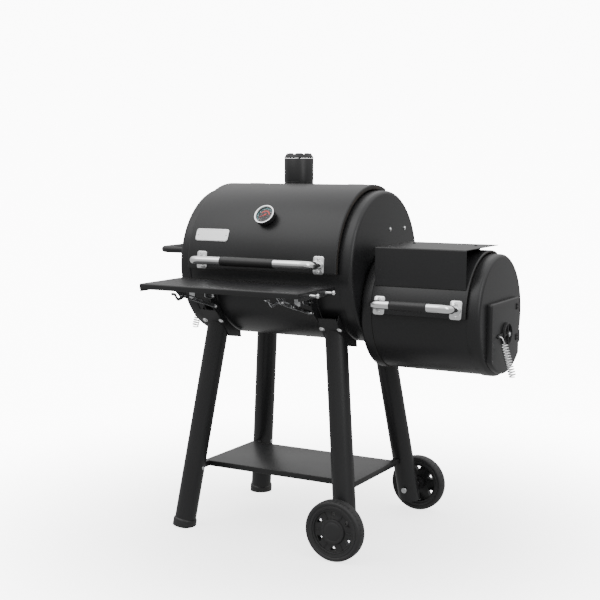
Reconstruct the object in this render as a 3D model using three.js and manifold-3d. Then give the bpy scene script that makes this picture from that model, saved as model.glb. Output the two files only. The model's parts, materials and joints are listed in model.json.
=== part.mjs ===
// Offset smoker: a barrel cook chamber on four splayed legs, with a smaller firebox on its right end.
// Millimetres, +Z up. The front (lid handle, folding shelf) faces -Y, and the firebox is at +X.
import * as THREE from "three";
import { mergeVertices } from "three/addons/utils/BufferGeometryUtils.js";
import Module from "manifold-3d";

const wasm = await Module();
wasm.setup();

// ---- driving sizes -------------------------------------------------------
const GAP = 0.3; // between two pieces that touch
const BARREL_SIDES = 40; // facets round each barrel

// cook chamber, a horizontal barrel
const BARREL_R = 260;
const BARREL_HALF = 337.5;
const BARREL_Z = 937;
const SHEET = 2.5;
const SHELL_R = 257.5;
const CAP_SHEET = 2.2;
const CAP_CORNER = 14;
const CAP_FLANGE = 46;
const OPENING_HALF = 276;
const OPENING_FROM = -1; // degrees, from the front over the top
const OPENING_TO = 108.5;

// main lid, a raised shell over the opening
const LID_R = 280;
const LID_HALF = 290;
const LID_SKIRT_R = 262;
const LID_FROM = -1.6;
const LID_TO = 110;

// firebox, a smaller barrel
const FIREBOX_R = 200;
const FIREBOX_X0 = 338.2;
const FIREBOX_X1 = 753;
const FIREBOX_Z = 798;
const FIREBOX_SHELL_R = 197.5;
const FIREBOX_FLANGE = 42;
const FIREBOX_LID_R = 211;
const FIREBOX_LID_HALF = 165;
const FIREBOX_OPENING_HALF = 152;
const PASSAGE_R = 98;
const PASSAGE_Z = 800;

// lid hinges: the axis runs along X behind the rear edge of each lid
const HINGE_ANGLE = 114;
const HINGE_PIN_R = 4;
const KNUCKLE_R = 8;
const HINGE_LENGTH = 60;

// stand
const LEG_R = 38;
const LEG_WALL = 2;
const LEG_X_FLOOR = 327.5;
const LEG_X_LEAN = 0.1274; // sideways lean per mm of height
const LEG_Y_FLOOR = 264;
const LEG_Y_LEAN = 0.1303;
const LEG_WHEEL_SIDE_Z = 60;
const FOOT_R = 42;
const FOOT_HEIGHT = 30;
const WEB_TOP = [-256, 800]; // Y, Z of the front bracket's sloping web
const WEB_BOTTOM = [-160, 682];
const BRACKET_X0 = 197;
const BRACKET_X1 = 270;
const BRACKET_SHEET = 3;

// bottom shelf
const TRAY_HALF_X = 306;
const TRAY_HALF_Y = 165;
const TRAY_Z = 221;
const TRAY_FLANGE = 20;

// wheels
const WHEEL_X = 320;
const WHEEL_Y = 335;
const WHEEL_R = 102;
const WHEEL_WIDTH = 48;
const RIM_R = 76;
const AXLE_R = 6;

// folding front shelf
const SHELF_HALF = 300;
const SHELF_Y_FRONT = -544;
const SHELF_Y_BACK = -297;
const SHELF_Z = 898;
const SHELF_PIVOT = [-272, 836]; // Y, Z
const STRUT_FOOT = [-262, 800];
const STRUT_HEAD = [-453, 856];
const STRUT_X = 180; // inner face of the strut stack

// ---- shape helpers -------------------------------------------------------
const rad = THREE.MathUtils.degToRad;

function toManifold(geometry) {
  const bare = geometry.index ? geometry : mergeVertices(stripped(geometry), 1e-3);
  const welded = mergeVertices(stripped(bare), 1e-3);
  const mesh = new wasm.Mesh({
    numProp: 3,
    vertProperties: new Float32Array(welded.attributes.position.array),
    triVerts: new Uint32Array(welded.index.array),
  });
  return new wasm.Manifold(mesh);
}

function stripped(geometry) {
  const copy = geometry.clone();
  copy.deleteAttribute("normal");
  copy.deleteAttribute("uv");
  return copy;
}

// A polygon in the YZ plane, pushed along X from x0 to x1.
function slabX(points, x0, x1) {
  const shape = new THREE.Shape(points.map(([y, z]) => new THREE.Vector2(y, z)));
  const geometry = new THREE.ExtrudeGeometry(shape, { depth: x1 - x0, bevelEnabled: false });
  const turn = new THREE.Matrix4().set(0, 0, 1, x0, 1, 0, 0, 0, 0, 1, 0, 0, 0, 0, 0, 1);
  return toManifold(geometry.applyMatrix4(turn));
}

// A polygon in the XY plane, with optional holes, pushed along Z from z0 to z1.
function slabZ(points, z0, z1, holes = []) {
  const shape = new THREE.Shape(points.map(([x, y]) => new THREE.Vector2(x, y)));
  for (const hole of holes) {
    shape.holes.push(new THREE.Path(hole.map(([x, y]) => new THREE.Vector2(x, y))));
  }
  const geometry = new THREE.ExtrudeGeometry(shape, { depth: z1 - z0, bevelEnabled: false });
  return toManifold(geometry.translate(0, 0, z0));
}

function block(x0, x1, y0, y1, z0, z1) {
  const geometry = new THREE.BoxGeometry(x1 - x0, y1 - y0, z1 - z0);
  return toManifold(geometry.translate((x0 + x1) / 2, (y0 + y1) / 2, (z0 + z1) / 2));
}

// A round bar between two points; r1 is its radius at the far end.
function rod(from, to, r0, sides = 16, r1 = r0) {
  const a = new THREE.Vector3(...from);
  const b = new THREE.Vector3(...to);
  const geometry = new THREE.CylinderGeometry(r1, r0, a.distanceTo(b), sides);
  const along = new THREE.Vector3().subVectors(b, a).normalize();
  const turn = new THREE.Quaternion().setFromUnitVectors(new THREE.Vector3(0, 1, 0), along);
  geometry.applyQuaternion(turn);
  geometry.translate(...a.add(b).multiplyScalar(0.5).toArray());
  return toManifold(geometry);
}

// A profile of [radius, height] points turned about +Z; it starts and ends on the axis.
function turned(profile, sides) {
  const points = profile.map(([r, h]) => new THREE.Vector2(r, h));
  const geometry = new THREE.LatheGeometry(points, sides);
  const made = toManifold(geometry.rotateX(Math.PI / 2));
  return made.volume() < 0 ? toManifold(flipped(geometry)) : made;
}

function flipped(geometry) {
  const copy = geometry.clone();
  const index = copy.index.array;
  for (let i = 0; i < index.length; i += 3) {
    const second = index[i + 1];
    index[i + 1] = index[i + 2];
    index[i + 2] = second;
  }
  return copy;
}

// The same, with the profile's height running along +X or +Y.
function turnedX(profile, sides) {
  return turned(profile, sides).rotate([0, 90, 0]);
}
function turnedY(profile, sides) {
  return turned(profile, sides).rotate([-90, 0, 0]);
}

// A round bar swept along a path of points whose corners are rounded.
function bentRod(points, radius, bend, sides = 12, cornerSteps = 5) {
  const path = new THREE.CurvePath();
  const p = points.map((q) => new THREE.Vector3(...q));
  let start = p[0];
  for (let i = 1; i < p.length - 1; i += 1) {
    const back = new THREE.Vector3().subVectors(p[i - 1], p[i]).normalize();
    const ahead = new THREE.Vector3().subVectors(p[i + 1], p[i]).normalize();
    const enter = p[i].clone().addScaledVector(back, bend);
    const leave = p[i].clone().addScaledVector(ahead, bend);
    path.add(new THREE.LineCurve3(start, enter));
    path.add(new THREE.QuadraticBezierCurve3(enter, p[i], leave));
    start = leave;
  }
  path.add(new THREE.LineCurve3(start, p[p.length - 1]));
  const stations = [];
  for (const curve of path.curves) {
    const steps = curve.isLineCurve3 ? 1 : cornerSteps;
    for (let k = 0; k < steps; k += 1) stations.push(curve.getPoint(k / steps));
  }
  stations.push(p[p.length - 1]);
  const spine = new THREE.CatmullRomCurve3(stations, false, "chordal");
  spine.getPoint = (t, target = new THREE.Vector3()) => polyPoint(stations, t, target);
  spine.getPointAt = spine.getPoint;
  spine.getTangentAt = (t, target = new THREE.Vector3()) => polyTangent(stations, t, target);
  spine.getTangent = spine.getTangentAt;
  const circle = new THREE.Shape();
  for (let k = 0; k < sides; k += 1) {
    const turn = (2 * Math.PI * k) / sides;
    const x = radius * Math.cos(turn);
    const y = radius * Math.sin(turn);
    if (k === 0) circle.moveTo(x, y);
    else circle.lineTo(x, y);
  }
  const options = { steps: stations.length - 1, bevelEnabled: false, extrudePath: spine };
  return toManifold(new THREE.ExtrudeGeometry(circle, options));
}

function polyPoint(stations, t, target) {
  const last = stations.length - 1;
  const at = Math.min(t * last, last);
  const i = Math.min(Math.floor(at), last - 1);
  return target.copy(stations[i]).lerp(stations[i + 1], at - i);
}

function polyTangent(stations, t, target) {
  const last = stations.length - 1;
  const i = Math.round(t * last);
  const before = stations[Math.max(i - 1, 0)];
  const after = stations[Math.min(i + 1, last)];
  return target.subVectors(after, before).normalize();
}

// Y and Z of a point on a circle about the barrel axis; the angle runs from the front over the top.
function onArc(radius, degrees) {
  return [-radius * Math.cos(rad(degrees)), radius * Math.sin(rad(degrees))];
}

// A flat strap of constant width between two YZ points.
function strap([ay, az], [by, bz], width, x0, x1) {
  const length = Math.hypot(by - ay, bz - az);
  const ny = (-(bz - az) / length) * (width / 2);
  const nz = ((by - ay) / length) * (width / 2);
  return slabX([[ay - ny, az - nz], [by - ny, bz - nz], [by + ny, bz + nz], [ay + ny, az + nz]], x0, x1);
}

function sector(r0, r1, from, to, x0, x1, steps) {
  const points = [];
  for (let i = 0; i <= steps; i += 1) points.push(onArc(r1, from + ((to - from) * i) / steps));
  if (r0 > 0) {
    for (let i = steps; i >= 0; i -= 1) points.push(onArc(r0, from + ((to - from) * i) / steps));
  } else {
    points.push([0, 0]);
  }
  return slabX(points.reverse(), x0, x1);
}

// A flat bar that follows a line of YZ points, rounded by a disc at each point.
function flatBar(points, width, x0, x1) {
  const parts = [];
  for (let i = 0; i < points.length - 1; i += 1) {
    parts.push(strap(points[i], points[i + 1], width, x0, x1));
  }
  for (const [y, z] of points) parts.push(rod([x0, y, z], [x1, y, z], width / 2, 6));
  return wasm.Manifold.union(parts);
}

function union(...parts) {
  return wasm.Manifold.union(parts.flat());
}

function mirrorX(solid) {
  return solid.mirror([1, 0, 0]);
}
function mirrorY(solid) {
  return solid.mirror([0, 1, 0]);
}

// ---- finishes ------------------------------------------------------------
const FINISH = {
  powder_coat: { color: 0x1a1a1b, roughness: 0.55, metalness: 0.1 },
  chrome: { color: 0xd8dadc, roughness: 0.18, metalness: 1 },
  zinc: { color: 0xb9bcbe, roughness: 0.4, metalness: 1 },
  black_resin: { color: 0x141414, roughness: 0.5, metalness: 0 },
  cast_black: { color: 0x111112, roughness: 0.75, metalness: 0.2 },
  cast_iron: { color: 0x222120, roughness: 0.8, metalness: 0.4 },
  badge: { color: 0xe4e5e6, roughness: 0.3, metalness: 0.8 },
  dial: { color: 0x0d0d0e, roughness: 0.6, metalness: 0 },
  needle: { color: 0xc01a1c, roughness: 0.5, metalness: 0 },
  glass: { color: 0xffffff, roughness: 0.05, metalness: 0 },
  tyre: { color: 0x1b1b1b, roughness: 0.85, metalness: 0 },
};

function node(name, solid, finish, parent) {
  const mesh = solid.getMesh();
  const geometry = new THREE.BufferGeometry();
  const position = new Float32Array((mesh.vertProperties.length / mesh.numProp) * 3);
  for (let i = 0; i < position.length / 3; i += 1) {
    for (let k = 0; k < 3; k += 1) position[3 * i + k] = mesh.vertProperties[i * mesh.numProp + k];
  }
  geometry.setAttribute("position", new THREE.BufferAttribute(position, 3));
  geometry.setIndex(new THREE.BufferAttribute(new Uint32Array(mesh.triVerts), 1));
  geometry.computeVertexNormals();
  const made = new THREE.Mesh(geometry, new THREE.MeshStandardMaterial(FINISH[finish]));
  made.name = name;
  parent.add(made);
  return made;
}

const smoker = new THREE.Group();
smoker.name = "offset_smoker";
const chamber = new THREE.Group();
chamber.name = "chamber";
chamber.position.set(0, 0, BARREL_Z);
const firebox = new THREE.Group();
firebox.name = "firebox";
firebox.position.set((FIREBOX_X0 + FIREBOX_X1) / 2, 0, FIREBOX_Z);
const stand = new THREE.Group();
stand.name = "stand";
smoker.add(chamber, firebox, stand);

// ---- round pan that closes the end of a barrel; its flat face is at +height -----
function capPan(radius, flange, half) {
  const inner = radius - CAP_SHEET;
  const steps = 2;
  const profile = [[0, half]];
  for (let i = 0; i <= steps; i += 1) {
    const turn = ((Math.PI / 2) * i) / steps;
    const r = radius - CAP_CORNER + CAP_CORNER * Math.sin(turn);
    profile.push([r, half - CAP_CORNER + CAP_CORNER * Math.cos(turn)]);
  }
  profile.push([radius, half - flange], [inner, half - flange]);
  for (let i = steps; i >= 0; i -= 1) {
    const turn = ((Math.PI / 2) * i) / steps;
    const bend = CAP_CORNER - CAP_SHEET;
    const r = inner - bend + bend * Math.sin(turn);
    profile.push([r, half - CAP_SHEET - bend + bend * Math.cos(turn)]);
  }
  profile.push([0, half - CAP_SHEET]);
  return turnedX(profile, BARREL_SIDES);
}

// ---- damper casting: a disc with an arm for its wire handle, facing +X at x = 0 ---
const DAMPER_R = 38;
const DAMPER_DEPTH = 10;
const DAMPER_ARM = 78;
const DAMPER_WINDOWS = 4;
function damperWindows(inner, outer, depth0, depth1) {
  const parts = [];
  const spread = 24;
  for (let i = 0; i < DAMPER_WINDOWS; i += 1) {
    const middle = 45 + (360 / DAMPER_WINDOWS) * i;
    parts.push(sector(inner, outer, middle - spread, middle + spread, depth0, depth1, 2));
  }
  return union(parts);
}
function damperDisc() {
  const disc = rod([GAP, 0, 0], [DAMPER_DEPTH - 4, 0, 0], DAMPER_R, 20);
  const rim = rod([GAP, 0, 0], [DAMPER_DEPTH, 0, 0], DAMPER_R, 20).subtract(
    rod([DAMPER_DEPTH - 6, 0, 0], [DAMPER_DEPTH + 2, 0, 0], DAMPER_R - 5, 20),
  );
  const hub = rod([GAP, 0, 0], [DAMPER_DEPTH + 2, 0, 0], 9, 10);
  const arm = flatBar([[-DAMPER_R + 4, 0], [-DAMPER_ARM, 0]], 14, GAP, 5);
  const eye = rod([-1, -DAMPER_ARM, 0], [8, -DAMPER_ARM, 0], 3.4, 8);
  return union(disc, rim, hub, arm)
    .subtract(damperWindows(13, 30, -1, DAMPER_DEPTH + 1))
    .subtract(eye);
}
// wire handle: a hook through the arm's eye, then a close coil that hangs down and away from the face
const COIL_R = 12.5;
const COIL_LENGTH = 112;
const COIL_TURNS = 5; // ridges on the simplified coil
const COIL_LEAN = 17; // degrees away from the face
function springHandle() {
  const top = [20, -75, -18];
  const profile = [[0, 0]];
  for (let i = 0; i < COIL_TURNS; i += 1) {
    const pitch = COIL_LENGTH / COIL_TURNS;
    profile.push([COIL_R - 3.5, pitch * i + 0.6], [COIL_R, pitch * (i + 0.5)]);
  }
  profile.push([COIL_R - 3.5, COIL_LENGTH - 0.6], [0, COIL_LENGTH]);
  const coil = turned(profile, 8)
    .rotate([0, 180 - COIL_LEAN, 0])
    .translate(top);
  const hook = bentRod(
    [[0.8, -DAMPER_ARM, 0], [14, -DAMPER_ARM, 0], [top[0] + 3, top[1], top[2] - 10]],
    1.8,
    5,
    5,
    2,
  );
  return union(coil, hook);
}

// ---- lid hinges, welded on -------------------------------------------------
// A base on the barrel with a pin, and a leaf on the lid whose knuckle turns round the pin.
const LEAF_SPAN = 12; // degrees of arc that each plate covers
function hingePair(shellR, lidR, x) {
  const [py, pz] = onArc((shellR + lidR) / 2 + 7, HINGE_ANGLE);
  const third = HINGE_LENGTH / 3;
  const a = x - HINGE_LENGTH / 2;
  const bore = (r) => rod([a - 50, py, pz], [a + HINGE_LENGTH + 50, py, pz], r, 8);
  const [fy, fz] = onArc(shellR, HINGE_ANGLE + 2);
  const baseKnuckles = [0, 2].map((k) => {
    const x0 = a + k * third + GAP;
    const x1 = a + (k + 1) * third - GAP;
    return union(strap([fy, fz], [py, pz], 6, x0, x1), rod([x0, py, pz], [x1, py, pz], KNUCKLE_R, 10));
  });
  const base = union(
    sector(shellR - 1, shellR + 3, HINGE_ANGLE, HINGE_ANGLE + LEAF_SPAN, a, a + HINGE_LENGTH, 4),
    baseKnuckles,
    rod([a - 2, py, pz], [a + HINGE_LENGTH + 2, py, pz], HINGE_PIN_R, 8),
  ).subtract(rod([a - 50, 0, 0], [a + HINGE_LENGTH + 50, 0, 0], shellR - 1, BARREL_SIDES));
  const x0 = a + third + GAP;
  const x1 = a + 2 * third - GAP;
  const [ly, lz] = onArc(lidR + 1, LID_TO - 3);
  const leaf = union(
    sector(lidR - 1, lidR + 3, LID_TO - LEAF_SPAN, LID_TO - 1, a, a + HINGE_LENGTH, 4),
    strap([ly, lz], [py, pz], 5, x0, x1),
    rod([x0, py, pz], [x1, py, pz], KNUCKLE_R, 10),
  ).subtract(bore(HINGE_PIN_R + 0.6));
  return { base, leaf };
}
const MAIN_HINGES = [-200, 200].map((x) => hingePair(SHELL_R, LID_R, x));
const FIREBOX_HINGE = hingePair(FIREBOX_SHELL_R, FIREBOX_LID_R, 0);

// ---- cook chamber --------------------------------------------------------
const CHIMNEY = { x: -118, y: 200, r: 54, wall: 2, foot: 50, top: 369 };
const shellLength = BARREL_HALF - CAP_CORNER - GAP;
const shell = rod([-shellLength, 0, 0], [shellLength, 0, 0], SHELL_R, BARREL_SIDES)
  .subtract(rod([-400, 0, 0], [400, 0, 0], SHELL_R - SHEET, BARREL_SIDES))
  .subtract(
    sector(0, 400, OPENING_FROM, OPENING_TO, -OPENING_HALF, OPENING_HALF, 8),
  )
  .subtract(rod([CHIMNEY.x, CHIMNEY.y, 0], [CHIMNEY.x, CHIMNEY.y, 300], CHIMNEY.r - 5, 16))
  .add(union(MAIN_HINGES.map((h) => h.base)));
node("cook_box_shell", shell, "powder_coat", chamber);

const SIDE_DAMPER = { y: -17, z: 818 - BARREL_Z };
const leftWindows = mirrorX(damperWindows(14, 29, -20, 20)).translate([
  -BARREL_HALF,
  SIDE_DAMPER.y,
  SIDE_DAMPER.z,
]);
const leftCap = mirrorX(capPan(BARREL_R, CAP_FLANGE, BARREL_HALF)).subtract(leftWindows);
node("end_cap_left", leftCap, "powder_coat", chamber);

const passage = rod([200, 0, PASSAGE_Z - BARREL_Z], [500, 0, PASSAGE_Z - BARREL_Z], PASSAGE_R, 24);
node(
  "end_cap_right",
  capPan(BARREL_R, CAP_FLANGE, BARREL_HALF).subtract(passage),
  "powder_coat",
  chamber,
);

// chimney: its foot is cut to the barrel, and its top holds a fixed slotted seat
const CHIMNEY_SEAT_DEPTH = 12;
function chimneyWindows(z0, z1) {
  const parts = [];
  for (let i = 0; i < 4; i += 1) {
    const spread = 21;
    const points = [];
    for (const [r, sign] of [[40, 1], [14, -1]]) {
      for (let k = 0; k <= 1; k += 1) {
        const turn = rad(90 * i + sign * (-spread + 2 * spread * k));
        points.push([r * Math.cos(turn), r * Math.sin(turn)]);
      }
    }
    parts.push(slabZ(points, z0, z1));
  }
  return union(parts);
}
const chimneyAt = [CHIMNEY.x, CHIMNEY.y, 0];
const seatTop = CHIMNEY.top - CHIMNEY_SEAT_DEPTH;
const chimneyPipe = rod([0, 0, CHIMNEY.foot], [0, 0, CHIMNEY.top], CHIMNEY.r, 28)
  .subtract(rod([0, 0, 0], [0, 0, CHIMNEY.top + 10], CHIMNEY.r - CHIMNEY.wall, 28))
  .translate(chimneyAt)
  .subtract(rod([-400, 0, 0], [400, 0, 0], SHELL_R + GAP, BARREL_SIDES));
const seat = rod([0, 0, seatTop - 2], [0, 0, seatTop], CHIMNEY.r - 0.5, 28)
  .subtract(chimneyWindows(seatTop - 5, seatTop + 5))
  .subtract(rod([0, 0, seatTop - 5], [0, 0, seatTop + 5], 4.4, 12))
  .translate(chimneyAt);
node("chimney_pipe", chimneyPipe.add(seat), "powder_coat", chamber);

// crown: a notched, inward tapering ring carried by a slotted disc that turns over the seat
const CROWN_HEIGHT = 19;
const CROWN_NOTCHES = 8;
const crownBase = CHIMNEY.top + GAP;
const crownTop = crownBase + CROWN_HEIGHT;
let crown = turned(
  [
    [0, crownBase],
    [CHIMNEY.r, crownBase],
    [CHIMNEY.r, crownBase + 3],
    [44, crownTop],
    [42, crownTop],
    [CHIMNEY.r - 3, crownBase + 3],
    [CHIMNEY.r - 3, crownBase + 2],
    [0, crownBase + 2],
  ],
  28,
);
for (let i = 0; i < CROWN_NOTCHES; i += 1) {
  const notch = block(30, 60, -8, 8, crownTop - 8, crownTop + 5);
  crown = crown.subtract(notch.rotate([0, 0, (360 / CROWN_NOTCHES) * i + 10]));
}
const crownStem = rod([0, 0, seatTop - 8], [0, 0, crownBase + 6], 4, 12);
const chimneyCrown = crown
  .subtract(chimneyWindows(crownBase - 5, crownBase + 5))
  .add(crownStem)
  .translate(chimneyAt);
node("chimney_crown", chimneyCrown, "powder_coat", chamber);

// side handle on the left end: a bent tube on two round flanges
const SIDE_HANDLE_Z = 977 - BARREL_Z;
const SIDE_HANDLE_REACH = 504;
const SIDE_HANDLE_Y = 140;
const sideFace = -BARREL_HALF - GAP;
const sideHandle = union(
  bentRod(
    [
      [sideFace - 1, -SIDE_HANDLE_Y, SIDE_HANDLE_Z],
      [-SIDE_HANDLE_REACH, -SIDE_HANDLE_Y, SIDE_HANDLE_Z],
      [-SIDE_HANDLE_REACH, SIDE_HANDLE_Y, SIDE_HANDLE_Z],
      [sideFace - 1, SIDE_HANDLE_Y, SIDE_HANDLE_Z],
    ],
    11.5,
    34,
    10,
    4,
  ),
  [-1, 1].map((s) =>
    rod(
      [sideFace, s * SIDE_HANDLE_Y, SIDE_HANDLE_Z],
      [sideFace - 4, s * SIDE_HANDLE_Y, SIDE_HANDLE_Z],
      21,
      12,
    ),
  ),
);
node("side_handle", sideHandle, "powder_coat", chamber);

const sideAt = [-BARREL_HALF, SIDE_DAMPER.y, SIDE_DAMPER.z];
node("side_damper_disc", mirrorX(damperDisc()).translate(sideAt), "cast_black", chamber);
node("side_damper_spring", mirrorX(springHandle()).translate(sideAt), "chrome", chamber);

// grates: flat castings with long slots
function slottedPlate(x0, x1, y0, y1, z0, z1, slots, margin, slotShare) {
  const pitch = (x1 - x0 - 2 * margin) / slots;
  const holes = [];
  const middle = (y0 + y1) / 2;
  const rib = 5;
  for (let i = 0; i < slots; i += 1) {
    const a = x0 + margin + pitch * (i + (1 - slotShare) / 2);
    const b = a + pitch * slotShare;
    holes.push(block(a, b, y0 + margin, middle - rib, z0 - 1, z1 + 1));
    holes.push(block(a, b, middle + rib, y1 - margin, z0 - 1, z1 + 1));
  }
  return block(x0, x1, y0, y1, z0, z1).subtract(union(holes));
}
const GRATE_Z = -52;
const GRATE_HALF_Y = 248;
const grate = slottedPlate(1, 330, -GRATE_HALF_Y, GRATE_HALF_Y, GRATE_Z, GRATE_Z + 9, 9, 10, 0.6);
node("cooking_grate_right", grate, "cast_iron", chamber);
node("cooking_grate_left", mirrorX(grate), "cast_iron", chamber);
const RACK_Z = 126;
const rack = slottedPlate(-330, 330, 20, 165, RACK_Z, RACK_Z + 5, 10, 9, 0.8);
node("warming_rack", rack, "zinc", chamber);

// ---- main lid ------------------------------------------------------------
function lidShell(outer, skirt, half, from, to, steps) {
  const sheetAngle = (SHEET / outer) * (180 / Math.PI);
  const cavity = sector(
    0,
    outer - SHEET,
    from + sheetAngle,
    to - sheetAngle,
    -half + SHEET,
    half - SHEET,
    steps,
  );
  return sector(skirt, outer, from, to, -half, half, steps).subtract(cavity);
}
const GAUGE_ANGLE = 36.7;
const [gaugeY, gaugeZ] = onArc(1, GAUGE_ANGLE);
const radial = (r) => [0, gaugeY * r, gaugeZ * r];
const mainLid = lidShell(LID_R, LID_SKIRT_R, LID_HALF, LID_FROM, LID_TO, 24)
  .subtract(rod(radial(240), radial(320), 6, 16))
  .add(union(MAIN_HINGES.map((h) => h.leaf)));
node("main_lid_shell", mainLid, "powder_coat", chamber);
// lid handle: bent tube with a resin grip between two bracket plates
function handleSet(lidR, angle, halfSpan, standoff, tubeR, gripHalf, gripR, plateHeight, bendR) {
  const [cy, cz] = onArc(1, angle);
  const at = (x, r) => [x, cy * r, cz * r];
  const foot = lidR + 3;
  const tube = bentRod(
    [at(-halfSpan, foot), at(-halfSpan, lidR + standoff), at(halfSpan, lidR + standoff), at(halfSpan, foot)],
    tubeR,
    bendR,
    10,
    4,
  );
  const grip = rod(at(-gripHalf, lidR + standoff), at(gripHalf, lidR + standoff), gripR, 14).subtract(
    rod(at(-halfSpan, lidR + standoff), at(halfSpan, lidR + standoff), tubeR + 3 * GAP, 14),
  );
  const plate = (x) =>
    block(-20, 20, -plateHeight / 2, plateHeight / 2, lidR + 0.2, lidR + 4.6)
      .rotate([90 - angle, 0, 0])
      .translate([x, 0, 0])
      .subtract(rod([x - 30, 0, 0], [x + 30, 0, 0], lidR + GAP, 72));
  return { frame: union(tube, plate(-halfSpan), plate(halfSpan)), grip };
}
const mainHandle = handleSet(LID_R, 4.6, 228, 75, 14, 103, 15.5, 60, 34);
node("lid_handle_frame", mainHandle.frame, "chrome", chamber);
node("lid_handle_grip", mainHandle.grip, "black_resin", chamber);

// plain name plate without lettering: a rounded rectangle with a raised rim
function roundedRect(halfX, halfY, corner, steps = 2) {
  const points = [];
  for (const [sx, sy, from] of [[1, 1, 0], [-1, 1, 90], [-1, -1, 180], [1, -1, 270]]) {
    for (let i = 0; i <= steps; i += 1) {
      const turn = rad(from + (90 * i) / steps);
      points.push([
        sx * (halfX - corner) + corner * Math.cos(turn),
        sy * (halfY - corner) + corner * Math.sin(turn),
      ]);
    }
  }
  return points;
}
const PLATE_ANGLE = 22.5;
const plainPlate = union(
  slabZ(roundedRect(66, 22, 9), LID_R + 0.2, LID_R + 2.4),
  slabZ(roundedRect(66, 22, 9), LID_R + 2, LID_R + 3.4, [roundedRect(62.5, 18.5, 6)]),
)
  .rotate([90 - PLATE_ANGLE, 0, 0])
  .translate([-199, 0, 0])
  .subtract(rod([-300, 0, 0], [-100, 0, 0], LID_R + GAP, 72));
node("plain_plate", plainPlate, "badge", chamber);

// thermometer, built facing +Z and tipped to stand square on the lid
const GAUGE_R = 36.3;
const GAUGE_FACE = 308;
const PROBE_END = 215;
function onGauge(solid) {
  return solid.rotate([90 - GAUGE_ANGLE, 0, 0]);
}
const gaugeHousing = turned(
  [
    [0, PROBE_END],
    [2.8, PROBE_END + 1],
    [2.8, LID_R + 1],
    [14, LID_R + 1],
    [14, LID_R + 5],
    [GAUGE_R - 3, LID_R + 5],
    [GAUGE_R - 1, LID_R + 8],
    [GAUGE_R - 1, GAUGE_FACE - 5],
    [GAUGE_R - 5, GAUGE_FACE - 5],
    [GAUGE_R - 5, GAUGE_FACE - 9],
    [0, GAUGE_FACE - 9],
  ],
  24,
).subtract(rod([0, 0, GAUGE_FACE - 16], [0, 0, GAUGE_FACE + 10], 1.9, 10));
node("gauge_housing", onGauge(gaugeHousing), "cast_black", chamber);
const gaugeBezel = turned(
  [[0, GAUGE_FACE - 4.7], [GAUGE_R, GAUGE_FACE - 4.7], [GAUGE_R, GAUGE_FACE - 1], [GAUGE_R - 2, GAUGE_FACE],
    [GAUGE_R - 4, GAUGE_FACE], [GAUGE_R - 6, GAUGE_FACE - 2], [0, GAUGE_FACE - 2]],
  24,
).subtract(rod([0, 0, GAUGE_FACE - 10], [0, 0, GAUGE_FACE + 5], GAUGE_R - 6, 24));
node("gauge_bezel", onGauge(gaugeBezel), "chrome", chamber);
const gaugeGlass = rod([0, 0, GAUGE_FACE - 4.4], [0, 0, GAUGE_FACE - 2.9], GAUGE_R - 6.8, 20);
node("gauge_glass", onGauge(gaugeGlass), "glass", chamber);
// the pointer is carried by a thin shaft that runs down the probe stem
const gaugeNeedle = union(
  rod([0, 0, GAUGE_FACE - 14], [0, 0, GAUGE_FACE - 5.2], 1.5, 10),
  rod([0, 0, GAUGE_FACE - 7.2], [0, 0, GAUGE_FACE - 5.2], 3.4, 12),
  slabZ([[-5, -7], [1.6, 2], [0, 24], [-1.6, 2]], GAUGE_FACE - 6.8, GAUGE_FACE - 5.8),
).rotate([0, 0, 120]);
node("gauge_needle", onGauge(gaugeNeedle), "needle", chamber);
// ---- firebox -------------------------------------------------------------
const fireHalf = (FIREBOX_X1 - FIREBOX_X0) / 2;
const fireShellHalf = fireHalf - CAP_CORNER - GAP;
const fireShell = rod([-fireShellHalf, 0, 0], [fireShellHalf, 0, 0], FIREBOX_SHELL_R, BARREL_SIDES)
  .subtract(rod([-400, 0, 0], [400, 0, 0], FIREBOX_SHELL_R - SHEET, BARREL_SIDES))
  .subtract(sector(0, 400, 2, OPENING_TO, -FIREBOX_OPENING_HALF, FIREBOX_OPENING_HALF, 8))
  .add(FIREBOX_HINGE.base);
node("firebox_shell", fireShell, "powder_coat", firebox);
const fireLeftCap = mirrorX(capPan(FIREBOX_R, FIREBOX_FLANGE, fireHalf)).subtract(
  rod([-fireHalf - 50, 0, PASSAGE_Z - FIREBOX_Z], [0, 0, PASSAGE_Z - FIREBOX_Z], PASSAGE_R, 24),
);
node("firebox_cap_left", fireLeftCap, "powder_coat", firebox);

// door outline: flat top, straight sides and a round bottom
const DOOR_HALF = 131;
const DOOR_TOP = 848 - FIREBOX_Z;
const DOOR_R = 190;
const DOOR_DEPTH = 16;
function doorOutline(inset) {
  const half = DOOR_HALF - inset;
  const r = DOOR_R - inset;
  const sweep = Math.asin(half / r);
  const points = [[half, DOOR_TOP - inset]];
  points.push([-half, DOOR_TOP - inset]);
  const steps = 8;
  for (let i = 0; i <= steps; i += 1) {
    const turn = -sweep + (2 * sweep * i) / steps;
    points.push([r * Math.sin(turn), -r * Math.cos(turn)]);
  }
  return points;
}
const doorX = fireHalf + GAP;
const DOOR_DAMPER_Z = 738 - FIREBOX_Z;
const DOOR_HINGE = { x: doorX + 9, y: DOOR_HALF + 7 };
const knuckleZs = [818 - FIREBOX_Z, 715 - FIREBOX_Z];
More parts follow.
